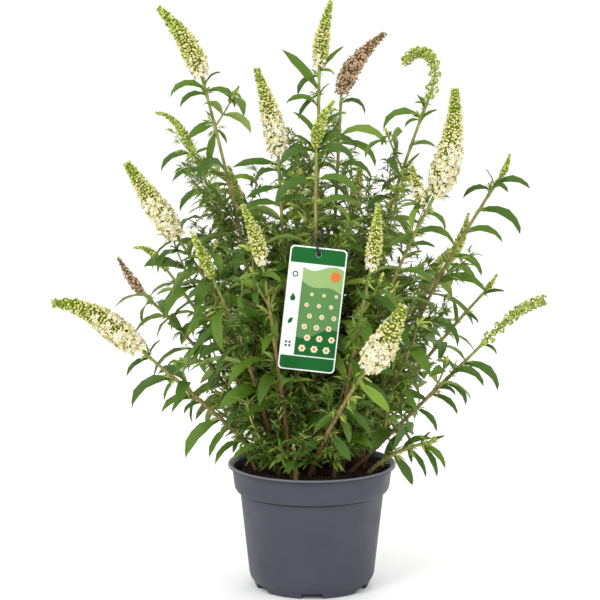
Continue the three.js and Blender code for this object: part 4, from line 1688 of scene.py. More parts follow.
@dataclass
class Spikes:
    """All the flower spikes: florets that open from the foot, and buds up to the tip."""

    rng: np.random.Generator
    fullness: float = 0.93
    foot: float = 0.7
    belly: float = 0.3
    slimmest: float = 2.2
    ring_gap: float = 2.3
    bud_gap: float = 3.5
    whorl: float = 0.07
    whorl_length: float = 0.62
    core_share: float = 0.62
    open_chance: float = 0.5
    cream_chance: float = 0.3
    faded_size: float = 0.72
    knot_buds: int = 26
    knot_size: float = 0.5
    knot_taper: float = 0.1

    def __post_init__(self) -> None:
        """Starts the deals of florets and buds."""
        self.florets = {name: Deal() for name in ("white", "cream", "tan")}
        self.eyes = Deal()
        self.buds = {name: Deal() for name in ("cream", "pale", "lime", "green", "husk", "brown")}
        self.cores = {"lime": Lines(), "husk": Lines()}

    def outline(self, share: Any, girth: float) -> Any:
        """A spike's radius at shares of its length.

        Args:
            share: The shares.
            girth: The spike's largest radius.

        Returns:
            A radius for each share.
        """
        swell = self.foot + self.belly * smooth(0.0, 0.2, share)
        taper = 1.0 - 0.8 * smooth(0.25, 1.25, share)
        return np.maximum(self.fullness * girth * swell * taper, self.slimmest)

    def grow(
        self, axis: Axis, start: float, length: float, girth: float, bloom: Bloom, loose: bool = False
    ) -> None:
        """One spike along an axis.

        Args:
            axis: The line that it follows.
            start: Where along the line it starts.
            length: Its length.
            girth: Its largest radius.
            bloom: How far it has come.
            loose: Whether its buds stand in knots apart.
        """
        if loose:
            self.knots(axis, start, length, girth)
            return
        self.core(axis, start, length, girth, bloom)
        distance, turn = 0.6, 0.0
        while distance < length:
            share = distance / length
            pitch = self.ring_gap + 0.06 * girth
            swell = 1.0 + self.whorl * math.cos(math.tau * distance / (girth * self.whorl_length))
            radius = float(self.outline(share, girth)) * swell
            self.ring(axis, start + distance, share, radius, turn, bloom)
            turn += 0.5
            distance += pitch * self.rng.uniform(0.85, 1.15)

    def core(self, axis: Axis, start: float, length: float, girth: float, bloom: Bloom) -> None:
        """The stalk with its crowded flower stalks, as one body inside the buds.

        Args:
            axis: The spike's line.
            start: Where along the line it starts.
            length: Its length.
            girth: Its largest radius.
            bloom: How far it has come.
        """
        shares = np.linspace(0.0, 0.96, max(5, int(length / 4.0)))
        radii = np.maximum(self.outline(shares, girth) * self.core_share - 0.4, 0.6)
        radii[0] = 0.8
        name = "husk" if bloom is Bloom.BROWN else "lime"
        self.cores[name].add(axis.at(start + shares * length), radii, 1.0)

    def ring(
        self, axis: Axis, distance: float, share: float, radius: float, turn: float, bloom: Bloom
    ) -> None:
        """One ring of buds and florets.

        Args:
            axis: The spike's line.
            distance: Where along the line.
            share: Where along the spike.
            radius: The ring's radius.
            turn: Radians that the ring is turned by.
            bloom: How far the spike has come.
        """
        rng = self.rng
        count = max(4, round(math.tau * radius / self.bud_gap))
        angles = turn + (np.arange(count) + rng.uniform(-0.28, 0.28, count)) * math.tau / count
        width, depth = axis.across(distance)
        ahead = axis.ahead(distance)
        radial = np.cos(angles)[:, None] * width + np.sin(angles)[:, None] * depth
        forward = ahead * rng.uniform(0.15, 0.7, (count, 1))
        faces = unit(radial + forward + rng.normal(0, 0.14, (count, 3)))
        spins = rng.uniform(0.0, math.tau, count)
        stages = share + rng.normal(0.0, 0.05, count)
        ripe = RIPENESS[bloom]
        open_now = (stages < ripe.opened) & (rng.random(count) < self.open_chance)
        shy = rng.uniform(0.8, 1.0, count)
        middle = axis.at(distance) + ahead * rng.uniform(-1.0, 1.0, (count, 1))
        frames = frames_facing(faces, spins)
        if open_now.any():
            reach = (radius * shy - 0.4)[open_now, None]
            points = middle[open_now] + radial[open_now] * reach
            self.open_florets(bloom, points, frames[open_now], 0.13 * radius)
        shut = ~open_now
        sizes = rng.uniform(0.85, 1.2, count) * (2.7 + 0.12 * radius)
        points = middle + radial * (radius * shy - sizes * 0.85)[:, None]
        self.shut_buds(bloom, points[shut], frames[shut], sizes[shut], stages[shut], ripe)

    def open_florets(self, bloom: Bloom, points: Array, frames: Array, extra: float) -> None:
        """Adds open florets and their eyes, or dry ones on a faded spike.

        Args:
            bloom: How far the spike has come.
            points: Where the florets sit.
            frames: Their axes.
            extra: How much larger they are on a broad spike.
        """
        rng = self.rng
        count = len(points)
        sizes = np.repeat(rng.uniform(2.1, 2.7, count)[:, None] + 0.42 * extra, 3, axis=1)
        choices = rng.integers(0, 3, count)
        if bloom is Bloom.BROWN:
            self.florets["tan"].add(points, frames, sizes * self.faded_size, choices)
            return
        pale = rng.random(count) < self.cream_chance
        for name, chosen in (("cream", pale), ("white", ~pale)):
            self.florets[name].add(points[chosen], frames[chosen], sizes[chosen], choices[chosen])
        self.eyes.add(points, frames, sizes, np.zeros(count, int))

    def shut_buds(
        self, bloom: Bloom, points: Array, frames: Array, sizes: Array, stages: Array, ripe: Ripeness
    ) -> None:
        """Adds buds, each in a colour for its stage along the spike.

        Args:
            bloom: How far the spike has come.
            points: Where the buds sit.
            frames: Their axes.
            sizes: Their lengths.
            stages: How far along the spike each counts.
            ripe: Where the spike's cream buds end.
        """
        draw = self.rng.random(len(points))
        if bloom is Bloom.BROWN:
            colours = np.where(draw < 0.55, "husk", "brown")
            colours = np.where((stages > 0.88) & (draw < 0.6), "green", colours)
        elif bloom is Bloom.GREEN:
            colours = np.where(draw < 0.42, "pale", np.where(draw < 0.75, "lime", "green"))
        else:
            creamy = np.where(draw < 0.62, "cream", np.where(draw < 0.86, "pale", "lime"))
            limed = np.where(draw < 0.38, "pale", np.where(draw < 0.78, "lime", "green"))
            colours = np.where(stages < ripe.cream, creamy, limed)
        long_bud = (stages < ripe.cream).astype(int)
        cube = np.repeat(sizes[:, None], 3, axis=1)
        for name, deal in self.buds.items():
            chosen = colours == name
            if chosen.any():
                deal.add(points[chosen], frames[chosen], cube[chosen], long_bud[chosen])

    def knots(self, axis: Axis, start: float, length: float, girth: float) -> None:
        """A loose spike: pairs of round knots of buds, closer towards the tip.

        Args:
            axis: The line that it follows.
            start: Where along the line it starts.
            length: Its length.
            girth: Its largest radius.
        """
        rng, count = self.rng, self.knot_buds
        distance, turn = 2.0, 0.0
        while distance < length:
            share = distance / length
            size = girth * (self.knot_size - self.knot_taper * share)
            width, depth = axis.across(start + distance)
            for half in (0.0, math.pi):
                out = width * math.cos(turn + half) + depth * math.sin(turn + half)
                centre = axis.at(start + distance) + out * (1.0 + size * 0.8)
                faces = unit(rng.normal(0.0, 1.0, (count, 3)) + out * 0.3)
                sizes = rng.uniform(0.85, 1.1, count) * (1.5 + 0.32 * size)
                frames = frames_facing(faces, rng.uniform(0.0, math.tau, count))
                points = centre + faces * (size - sizes * 0.6)[:, None]
                stages = np.full(count, share)
                self.shut_buds(Bloom.GREEN, points, frames, sizes, stages, RIPENESS[Bloom.GREEN])
            turn += math.pi / 2
            distance += size * (2.2 - 1.2 * smooth(0.2, 0.6, share))

    def build(self, nodes: list[str]) -> None:
        """Makes the pieces of every spike, which stand for the nodes named.

        Args:
            nodes: The names of the solids.
        """
        for name, finish in (("lime", CORE_LIME), ("husk", CORE_HUSK)):
            piece = self.cores[name].grown(f"spike_cores_{name}", finish, sides=9, relief=1.4)
            hand_over(piece, "foliage", *nodes)
        florets, buds = FloretSet().collection(), bud_shapes()
        plan = (
            ("florets_white", self.florets["white"], florets, PETAL_WHITE),
            ("florets_cream", self.florets["cream"], florets, PETAL_CREAM),
            ("florets_faded", self.florets["tan"], florets, HUSK_TAN),
            ("floret_eyes", self.eyes, throat_shapes(), THROAT),
            ("buds_cream", self.buds["cream"], buds, BUD_CREAM),
            ("buds_pale", self.buds["pale"], buds, BUD_PALE),
            ("buds_lime", self.buds["lime"], buds, BUD_LIME),
            ("buds_green", self.buds["green"], buds, BUD_GREEN),
            ("buds_husk", self.buds["husk"], buds, HUSK_TAN),
            ("buds_faded", self.buds["brown"], buds, HUSK_BROWN),
        )
        for name, deal, templates, finish in plan:
            hand_over(deal.dealt(name, templates, finish), "foliage", *nodes)


# ---- label


@dataclass
class Label:
    """A printed card on a twisted tie, hung from the middle cane. Its print is plain."""

    cane: Cane
    width: float = 64.0
    height: float = 141.0
    thickness: float = 0.7
    corner: float = 5.0
    hole_radius: float = 3.0
    hole_depth: float = 8.0
    tilt: float = 6.3
    cane_distance: float = 294.0
    drop: float = 28.0
    aside: float = 3.5
    forward: float = 16.0
    border: float = 1.5
    top_band: float = 19.0
    bottom_band: float = 16.0
    strip: float = 15.0
    ink: float = 0.12
    bite: float = 0.02
    berth: float = 4.0
    room: float = 7.0
    tie_radius: float = 1.3
    strand_share: float = 0.62
    strand_points: int = 220
    signs: int = 4

    def __post_init__(self) -> None:
        """Works out where the card hangs."""
        self.loop = self.cane.at(self.cane_distance)
        self.hole = self.loop + np.array([self.aside, -self.forward, -self.drop])
        turn = Matrix.Rotation(math.radians(self.tilt), 4, "Y")
        self.frame = Matrix.Translation(Vector(self.hole)) @ turn
        self.left, self.right = -self.width / 2, self.width / 2
        self.top, self.bottom = self.hole_depth, self.hole_depth - self.height

    def hides(self, points: Array) -> Array:
        """Whether points lie in the card or before it.

        Args:
            points: The points.

        Returns:
            An answer for each point.
        """
        inverse = np.array(self.frame.inverted())
        local = points @ inverse[:3, :3].T + inverse[:3, 3]
        x, y, z = local[..., 0], local[..., 1], local[..., 2]
        within = (np.abs(x) < self.right + self.berth) & (y < self.room)
        return within & (z > self.bottom - self.berth) & (z < self.top + self.berth)

    def card(self) -> Shape:
        """The card with its punched hole.

        Returns:
            The closed shape.
        """
        outline = rounded_box(self.left, self.bottom, self.right, self.top, (self.corner,) * 4)
        hole = disc(0.0, 0.0, self.hole_radius, 24, hole=True)
        half = self.thickness / 2
        return plate([outline, hole], -half, half)

    def inked(self, *loops: list[Spot], layer: int = 1) -> Shape:
        """A printed shape on the front of the card, in the layers of ink that it has."""
        face = -self.thickness / 2
        return plate(list(loops), face - self.ink * layer, face - self.ink * (layer - 1) + self.bite)

    def bands(self) -> Shape:
        """The two coloured bands, on the front and the back.

        Returns:
            The closed shapes, as one.
        """
        inset, corner = self.border, self.corner - self.border * 0.6
        left, right = self.left + inset, self.right - inset
        top, bottom = self.top - inset, self.bottom + inset
        upper = rounded_box(left, self.top - self.top_band, right, top, (0, corner, corner, 0))
        lower_top = self.bottom + self.bottom_band
        lower = rounded_box(left, bottom, right, lower_top, (corner, 0, 0, corner))
        ring = disc(0.0, 0.0, self.hole_radius + 0.2, 24, hole=True)
        face = self.thickness / 2
        shape = self.inked(upper, ring).join(self.inked(lower))
        shape.join(plate([upper, ring], face - self.bite, face + self.ink))
        return shape.join(plate([lower], face - self.bite, face + self.ink))

    def marks(self) -> Shape:
        """Four plain signs down the side strip: a ring, a drop, a leaf and four dots.

        Returns:
            The closed shapes, as one.
        """
        x = self.left + self.border + self.strip * 0.46
        pitch = (self.height - self.top_band - self.bottom_band) / self.signs
        rows = [self.top - self.top_band - pitch * (i + 0.5) for i in range(self.signs)]
        shape = self.inked(disc(x, rows[0], 3.4), disc(x, rows[0], 2.0, 24, hole=True))
        shape.join(self.inked(self.drop_outline(x, rows[1], 3.0)))
        shape.join(self.inked(self.leaf_outline(x, rows[2], 4.6, 2.2, 60.0)))
        for dx, dz in ((-2.0, -2.0), (2.0, -2.0), (2.0, 2.0), (-2.0, 2.0)):
            shape.join(self.inked(disc(x + dx, rows[3] + dz, 1.4, 12)))
        return shape

    @staticmethod
    def drop_outline(x: float, z: float, radius: float) -> list[Spot]:
        """A drop of a radius, round a point, with its tip up.

        Args:
            x: The point's X.
            z: The point's Z.
            radius: The radius.

        Returns:
            The outline.
        """
        angles = [math.radians(150.0 + 240.0 * i / 16) for i in range(17)]
        round_part = [(x + radius * math.cos(a), z - 1.0 + radius * math.sin(a)) for a in angles]
        return [*round_part, (x, z + radius * 1.7)]

    @staticmethod
    def leaf_outline(x: float, z: float, length: float, half: float, tilt: float) -> list[Spot]:
        """A pointed leaf.

        Args:
            x: Its middle's X.
            z: Its middle's Z.
            length: Its length each way from there.
            half: Half its width.
            tilt: Degrees that it is tilted.

        Returns:
            Its outline.
        """
        out, steps = [], 8
        cosine, sine = math.cos(math.radians(tilt)), math.sin(math.radians(tilt))
        for side in (-1.0, 1.0):
            for i in range(steps):
                share = i / steps
                u = -side * length * (1.0 - 2.0 * share)
                v = -side * half * math.sin(math.pi * share)
                out.append((x - u * cosine - v * sine, z - u * sine + v * cosine))
        return out[::-1]

    def window(self) -> tuple[float, float, float, float]:
        """Left, bottom, right and top of the picture's place.

        Returns:
            Its four limits.
        """
        return (
            self.left + self.border + self.strip,
            self.bottom + self.bottom_band + 1.4,
            self.right - self.border,
            self.top - self.top_band - 1.4,
        )

    def hills(self, first: float, second: float, layer: int) -> Shape:
        """A wavy field that fills the window from its foot.

        Args:
            first: Its height at the right, as a share of the window.
            second: Its height at the left.
            layer: The layer of ink that it is printed in.

        Returns:
            The printed shape.
        """
        left, bottom, right, top = self.window()
        tall = top - bottom
        ridge, steps = [], 16
        for i in range(steps + 1):
            share = i / steps
            level = first + (second - first) * share + 0.03 * math.sin(math.tau * share)
            ridge.append((right + (left - right) * share, bottom + tall * level))
        return self.inked([(left, bottom), (right, bottom), *ridge], layer=layer)

    def daisies(self) -> tuple[Shape, Shape]:
        """Round plain flowers in a staggered pattern: petals and centres.

        Returns:
            The petals, and the centres with the sun above them.
        """
        left, bottom, right, top = self.window()
        petals, centres = Shape(), Shape()
        rows, columns, rays = 6, 3, 6
        for row in range(rows):
            for column in range(columns):
                x = left + (right - left) * (0.2 + 0.3 * column + (0.08 if row % 2 else -0.02))
                z = bottom + (top - bottom) * (0.08 + 0.12 * row)
                size = 4.6 - 0.45 * row
                for i in range(rays):
                    angle = math.tau * i / rays
                    near = (x + size * 0.55 * math.cos(angle), z + size * 0.55 * math.sin(angle))
                    petals.join(self.inked(disc(*near, size * 0.36, 10), layer=4))
                centres.join(self.inked(disc(x, z, size * 0.3, 12), layer=5))
        centres.join(self.inked(disc(right - 9.0, top - 11.0, 5.6, 28), layer=4))
        return petals, centres

    def strand(self, phase: float) -> Array:
        """One of the two twisted strands of the tie, round the cane and back.

        Args:
            phase: Radians that it is turned by about the tie's own line.

        Returns:
            Its points.
        """
        hang = self.hole_radius * 0.86 - 2.0 * self.tie_radius
        off = self.thickness / 2 + 2.0 * self.tie_radius + 0.4
        clear = float(self.cane.radius(self.cane_distance)) + 2.0 * self.tie_radius + 0.4
        hole, loop = self.hole + np.array([0.0, 0.0, hang]), self.loop
        knots = np.array(
            [
                hole + (1.6, off + 0.6, 2.4),
                hole + (0.2, off * 0.4, 0.0),
                hole + (0.0, -off * 0.6, 0.0),
                hole + (-1.0, -off - 0.6, 4.0),
                hole + (-2.4, -off - 0.4, self.hole_depth + 3.0),
                loop + (-clear - 1.0, -clear * 0.4, -2.0),
                loop + (-clear * 0.75, clear * 0.75, 0.0),
                loop + (clear * 0.75, clear * 0.75, 0.0),
                loop + (clear + 1.6, -clear * 0.6, -3.0),
                hole + (4.6, off + 2.4, self.hole_depth + 3.0),
                hole + (3.6, off + 1.6, 4.6),
            ]
        )
        line = smooth_line(knots, self.strand_points)
        ahead = unit(np.gradient(line, axis=0))
        side = unit(np.cross(ahead, UP) + 1e-3)
        over = np.cross(side, ahead)
        run = np.cumsum(np.linalg.norm(np.gradient(line, axis=0), axis=1))
        wind = (math.tau * run / (7.0 * self.tie_radius) + phase)[:, None]
        return line + 0.55 * self.tie_radius * (np.cos(wind) * side + np.sin(wind) * over)

    def build(self) -> None:
        """Makes and dresses the card, its print and its tie."""
        petals, centres = self.daisies()
        prints = (
            ("label_board", self.card(), CARD_WHITE),
            ("label_bands", self.bands(), PRINT_GREEN),
            ("label_signs", self.marks(), PRINT_GREEN),
            ("label_sky", self.hills(0.97, 0.97, 1), PRINT_PALE),
            ("label_far_field", self.hills(0.7, 0.82, 2), PRINT_MID),
            ("label_near_field", self.hills(0.3, 0.2, 3), PRINT_GREEN),
            ("label_petals", petals, PRINT_CREAM),
            ("label_centres", centres, PRINT_ORANGE),
        )
        for name, shape, finish in prints:
            piece = add_object(name, shape.moved(self.frame).mesh(name))
            piece.data.materials.append(finish.material())
            hand_over(piece, "card", "label_card")
        lines = Lines()
        for phase in (0.0, math.pi):
            strand = self.strand(phase)
            lines.add(strand, np.full(len(strand), self.tie_radius * self.strand_share), 1.0)
        tie = lines.grown("tie_strands", TIE_BLACK, sides=8, relief=0.0)
        hand_over(tie, "tie", "label_tie")


# ---- crown


FLANK_START, FLANK_FOOT, FLANK_SLOPE = 118.0, 150.0, 1.05
FLANK_TURN, FLANK_CURVE = 195.0, 0.02
FUNNEL_FOOT, FUNNEL_SLOPE = 74.0, 0.5
WELL = 11.0  # how far inside the lip the pot's mouth is clear of its wall
CLEARANCE = 1.5


class Tint(Enum):
    """The leaf colours, dealt out by spray."""

    DEEP = "deep"
    MID = "mid"
    FRESH = "fresh"


@dataclass(frozen=True)
class Tuft:
    """One kind of leaf in a sprig.

    Attributes:
        blades: The leaves' templates.
        counts: The least number of leaves, and one more than the most.
        spread: How widely they point.
        lengths: The least and greatest length, as shares of the sprig's size.
        reach: How far along the sprig they spring, as a share of its size.
        slimness: Width for each millimetre of length.
        least_width: What that is added to.
        droop: Degrees that they bend down.
        roll: The most that they turn about themselves, in radians.
    """

    blades: BladeSet
    counts: tuple[int, int]
    spread: float
    lengths: Spot
    reach: float
    slimness: float
    least_width: float
    droop: float
    roll: float


NARROW_TUFT = Tuft(NARROW, (3, 6), 0.42, (0.55, 1.0), 0.35, 0.13, 1.0, 70.0, 1.0)
TINY_TUFT = Tuft(TINY, (4, 7), 0.55, (0.3, 0.6), 0.5, 0.14, 0.7, 35.0, 1.2)


@dataclass
class Crown:
    """Everything that grows: canes, boughs, twigs, leaves and flower spikes."""

    canes: list[Cane]
    shoots: list[Cane]
    label: Label
    seed: int = 4201
    spacing: float = 33.0
    above_bare: float = 6.0
    rise: float = 42.0
    leaf_length: float = 74.0
    leaf_width: float = 16.5
    droop: float = 112.0
    steepest: float = -86.0
    astray: float = 26.0
    low_leaves: float = 0.22
    dark: Spot = (230.0, 380.0)
    deep_most: float = 0.5
    mid_most: float = 0.96
    nearer: Spot = (-0.35, 0.1)
    shallow: float = 70.0
    rolls: Spot = (0.15, 0.7)
    front_half: float = 30.0
    sprig_length: Spot = (36.0, 20.0)
    sprig_rise: float = 20.0
    sprig_lean: Spot = (0.85, 0.7)
    rise_spread: Spot = (-14.0, 12.0)
    length_spread: Spot = (0.84, 1.12)
    width_spread: Spot = (0.85, 1.15)
    step_spread: Spot = (0.85, 1.15)
    narrowing: float = 0.22
    narrow_between: Spot = (180.0, 460.0)
    most_roll: float = 0.95
    bough_rise: float = 38.0
    bough_reach: float = 0.42
    bough_lengths: Spot = (80.0, 190.0)
    bough_scale: float = 0.84
    twig_rise: float = 35.0
    twig_lengths: Spot = (50.0, 95.0)
    twig_sprig: Spot = (27.0, 11.0)
    twig_spacing: float = 12.0
    low_twig_reach: float = 0.22
    low_twig_lengths: Spot = (40.0, 75.0)
    high_twig_shares: Spot = (0.44, 0.75)
    high_twig_lengths: Spot = (50.0, 90.0)
    rosette_leaves: int = 7
    rosette_length: float = 52.0
    rosette_droop: float = 55.0
    side_pairs: tuple[float, ...] = (0.42, 0.82, 1.0)
    side_scale: Spot = (0.72, 0.2)
    scar_spacing: float = 24.0
    knot_swell: float = 0.3
    knot_width: float = 2.2
    shoot_shares: tuple[float, ...] = (0.62, 0.8, 0.98)
    shoot_scale: float = 0.48
    shoot_rise: float = 14.0
    shoot_droop: float = 42.0
    axil: float = 15.0
    broad: float = 11.5
    seen: int = 20
    clear: float = 9.0
    boughs_each: int = 3
    twigs_each: int = 5
    low_twigs: int = 4
    high_twigs: int = 8
    tall: float = 400.0
    slim: float = 145.0

    def __post_init__(self) -> None:
        """Starts the random stream and the empty deals."""
        self.rng = np.random.default_rng(self.seed)
        self.stems = [*self.canes, *self.shoots]
        self.leaves = {tint: Deal() for tint in Tint}
        self.narrow = {tint: Deal() for tint in Tint}
        self.tiny = {tint: Deal() for tint in Tint}
        self.spikes = Spikes(self.rng)
        self.twig_lines, self.bough_lines = Lines(), Lines()
        self.knots: dict[str, list[float]] = {cane.name: [] for cane in self.stems}
        self.traces = [cane.at(np.linspace(0.0, cane.length, 60)) for cane in self.stems]
        self.low_shoot = False
        shown = [c.at(np.linspace(c.stem_length, c.length, 9)) for c in self.canes[: self.seen]]
        self.flowers = np.concatenate(shown)

    # ---- where a leaf may be

    def before_flower(self, points: Array) -> Array:
        """Whether points hang in front of a flower spike of the crown's front half.

        Args:
            points: The points.

        Returns:
            An answer for each point.
        """
        gaps = points[:, None] - self.flowers[None]
        beside = np.hypot(gaps[..., 0], gaps[..., 2]) < self.clear
        ahead = (gaps[..., 1] < 0.0) & (self.flowers[None, :, 1] < self.front_half)
        return (beside & ahead).any(axis=1)

    def allowed(self, points: Array) -> Array:
        """Whether points lie in the crown, off the pot and clear of the label.

        Args:
            points: The points.

        Returns:
            An answer for each point.
        """
        inside = np.all((points > CROWN_LOW - SPARE) & (points < CROWN_HIGH + SPARE), axis=-1)
        lip = LIP_RADIUS + CLEARANCE
        radius = np.hypot(points[..., 0], points[..., 1])
        above = (points[..., 2] > POT_TOP + CLEARANCE) | (radius > lip)
        in_pot = (radius < lip - WELL) & (points[..., 2] > SOIL_LEVEL + 1.0)
        return inside & (above | in_pot) & ~self.label.hides(points)

    @staticmethod
    def over_flank(points: Array) -> Array:
        """Whether points lie over the crown's flank, which rises away from the rim.

        Args:
            points: The points.

        Returns:
            An answer for each point.
        """
        radius = np.hypot(points[..., 0], points[..., 1])
        flank = FLANK_FOOT + FLANK_SLOPE * (radius - FLANK_START)
        flank += FLANK_CURVE * np.maximum(0.0, radius - FLANK_TURN) ** 2
        return (radius < FLANK_START) | (points[..., 2] > flank)

    @staticmethod
    def in_funnel(points: Array) -> Array:
        """Whether points lie in the funnel that side boughs and twigs fill."""
        radius = np.hypot(points[..., 0], points[..., 1])
        return radius < FUNNEL_FOOT + FUNNEL_SLOPE * (points[..., 2] - SOIL_LEVEL)

    def in_own_space(self, number: int, points: Array) -> Array:
        """Whether points lie nearer to their own stem than to others, give or take.

        Args:
            number: The stem's number.
            points: The points.

        Returns:
            An answer for each point.
        """
        gaps = [np.linalg.norm(points[:, None] - t[None], axis=2).min(axis=1) for t in self.traces]
        own = gaps[number] - self.astray
        others = [gap for i, gap in enumerate(gaps) if i != number]
        return own < np.min(others, axis=0)

    # ---- blades

    def deal_blades(
        self, deal: Deal, blades: BladeSet, roots: Array, ways: Array, lengths: Array,
        widths: Array, droop: float | Array, roll: float | Array, facing: bool = False,
    ) -> None:
        """Adds blades that leave their roots along ways, where they are allowed.

        Args:
            deal: Where the blades are collected.
            blades: Their templates.
            roots: Where each blade starts.
            ways: Unit vectors along which each starts.
            lengths: Each blade's length.
            widths: Each blade's width.
            droop: Degrees that a blade bends down along its length.
            roll: The most that a blade turns about its own length, in radians.
            facing: Whether each keeps its droop just so and turns its face to the front.
        """
        rng = self.rng
        count = len(roots)
        if count == 0:
            return
        lifts = np.degrees(np.arcsin(np.clip(ways[:, 2], -1.0, 1.0)))
        drawn = droop if facing else droop * rng.uniform(0.7, 1.2, count)
        most = np.minimum(drawn, lifts - self.steepest)
        rolls = roll * (rng.uniform(0.6, 1.0, count) if facing else rng.uniform(-1.0, 1.0, count))
        frames = frames_along(ways, rolls)
        outwards = (frames[:, :, 0] * (FRONT if facing else unit(roots * FLAT))).sum(axis=1)
        choices = blades.choose(most, outwards, 1.0 if facing else blades.leaning, rng)
        bends = np.radians(np.array(blades.droops)[choices // blades.turns])
        keep = np.ones(count, bool)
        for share in (0.4, 0.75, 1.0):
            run = np.sin(bends * share) / bends
            sink = (np.cos(bends * share) - 1.0) / bends
            spots = frames[:, :, 1] * run[:, None] + frames[:, :, 2] * sink[:, None]
            there = roots + spots * lengths[:, None]
            keep &= self.allowed(there)
            if not facing:
                keep &= (self.low_shoot | self.over_flank(there)) & ~self.before_flower(there)
        sizes = np.stack([widths, lengths, lengths], axis=1)
        deal.add(roots[keep], frames[keep], sizes[keep], choices[keep])

    def thinned(self, height: float) -> float:
        """The share of main leaves that grow at a height: few low down, where it is dark.

        Args:
            height: The height.

        Returns:
            The share.
        """
        if self.low_shoot:
            return 1.0
        return self.low_leaves + (1.0 - self.low_leaves) * smooth(*self.dark, height)

    def tint(self, share: float) -> Tint:
        """A leaf's tint at a share of the way up its cane: fresher towards the tip, as young leaves are, and
        deeper in the lower half, which is painted shade.

        Args:
            share: The share.

        Returns:
            The tint that is drawn.
        """
        # the last term deepens the tint in the lower half: painted shade
        draw = self.rng.random() + 0.3 * share - 0.22 * smooth(0.5, 0.25, share)
        if draw < self.deep_most:
            return Tint.DEEP
        return Tint.MID if draw < 1.0 else Tint.FRESH

    def pair(self, axis: Axis, distance: float, angle: float, scale: float, number: int | None) -> None:
        """One pair of opposite main leaves.

        Args:
            axis: The line that they spring from.
            distance: Where along it.
            angle: Radians round it.
            scale: The leaves' size.
            number: The cane whose space they keep to, if any.
        """
        rng = self.rng
        root = axis.at(distance)
        rises = self.rise + rng.uniform(*self.rise_spread, 2)
        ways = np.array([axis.outward(distance, angle + i * math.pi, rises[i]) for i in range(2)])
        lengths = self.leaf_length * scale * rng.uniform(*self.length_spread, 2)
        low = 1.0 - self.narrowing * smooth(*self.narrow_between, root[2])
        widths = self.leaf_width * low * math.sqrt(scale) * rng.uniform(*self.width_spread, 2)
        keep = rng.random(2) < self.thinned(root[2])
        if number is not None:
            tips = root + ways * lengths[:, None] * 0.8 - UP * lengths[:, None] * 0.3
            keep = self.in_own_space(number, tips)
        roots = np.repeat(root[None], 2, axis=0)
        deal = self.leaves[self.tint(root[2] / CROWN_HIGH[2])]
        kept = (part[keep] for part in (roots, ways, lengths, widths))
        self.deal_blades(deal, LEAVES, *kept, self.droop, self.most_roll)

    def sprig(self, root: Array, ahead: Array, out: Array, size: float, tint: Tint) -> None:
        """A short leafy shoot in an axil: a few narrow leaves with tiny ones among them.

        Args:
            root: The axil.
            ahead: The stem's direction.
            out: The way that the leaf below the sprig points.
            size: The length of its longest leaf.
            tint: Its tint.
        """
        rng = self.rng
        middle = unit(out * self.sprig_lean[0] + ahead * self.sprig_lean[1])
        for tuft, deals in ((NARROW_TUFT, self.narrow), (TINY_TUFT, self.tiny)):
            count = int(rng.integers(*tuft.counts))
            ways = unit(middle + rng.normal(0.0, tuft.spread, (count, 3)))
            lengths = size * rng.uniform(*tuft.lengths, count)
            roots = root + middle * rng.uniform(0.0, tuft.reach * size, (count, 1))
            widths = tuft.slimness * lengths + tuft.least_width
            blades, droop, roll = tuft.blades, tuft.droop, tuft.roll
            self.deal_blades(deals[tint], blades, roots, ways, lengths, widths, droop, roll)

    def leafy(self, axis: Axis, start: float, end: float, scale: float, number: int | None) -> list[float]:
        """Leaf pairs with a sprig in every axil, along part of a line.

        Args:
            axis: The line.
            start: Where the first pair stands.
            end: Where the last may stand.
            scale: The leaves' size.
            number: The cane whose space they keep to, if any.

        Returns:
            The distances of the pairs along the line.
        """
        rng = self.rng
        distances, (longest, shorter) = [], self.sprig_length
        distance, quarter = start, int(rng.integers(0, 2))
        while distance < end:
            share = distance / end
            angle = math.pi / 4 + math.pi / 2 * quarter + rng.uniform(-0.35, 0.35)
            size = scale * (1.0 - 0.3 * smooth(0.7, 1.0, share)) * rng.uniform(0.86, 1.12)
            self.pair(axis, distance, angle, size, number)
            for half in (0.0, math.pi):
                out = axis.outward(distance, angle + half, self.sprig_rise)
                length = (longest - shorter * share) * scale
                self.sprig(axis.at(distance), axis.ahead(distance), out, length, self.tint(share))
            distances.append(distance)
            quarter += 1
            distance += self.spacing * scale * rng.uniform(*self.step_spread) * (1.0 - 0.3 * share)
        return distances

    # ---- boughs and twigs

    def bent(self, root: Array, start: Array, end: Array, length: float) -> Array:
        """A line that turns as it grows.

        Args:
            root: Where it starts.
            start: Its first direction.
            end: Its last direction.
            length: Its length.

        Returns:
            Its points.
        """
        steps = 14
        ways = arc_between(start, end, (np.arange(steps) + 0.5) / steps)
        return np.concatenate([[root], root + np.cumsum(ways, axis=0) * length / steps])

    def bough(self, cane: Cane, distance: float, angle: float, length: float) -> None:
        """A leafy side bough that rises beside its cane.

        Args:
            cane: The cane.
            distance: Where along it the bough springs.
            angle: Radians round it.
            length: The bough's length.
        """
        rng = self.rng
        start = cane.outward(distance, angle, self.bough_rise)
        end = unit(UP + 0.45 * cane.ahead(distance) + 0.35 * start + rng.normal(0.0, 0.14, 3))
        line = self.bent(cane.at(distance), start, end, length)
        if not (self.allowed(line[4:]) & self.in_funnel(line[4:])).all():
            return
        heading = math.degrees(math.atan2(start[1], start[0]))
        axis = Axis(line, heading)
        count = len(line)
        self.bough_lines.add(line, np.linspace(1.7, 0.9, count), np.linspace(0.2, 0.95, count))
        self.leafy(axis, 16.0, length - 2.0, self.bough_scale, None)
        self.rosette(axis, length, 0.5)

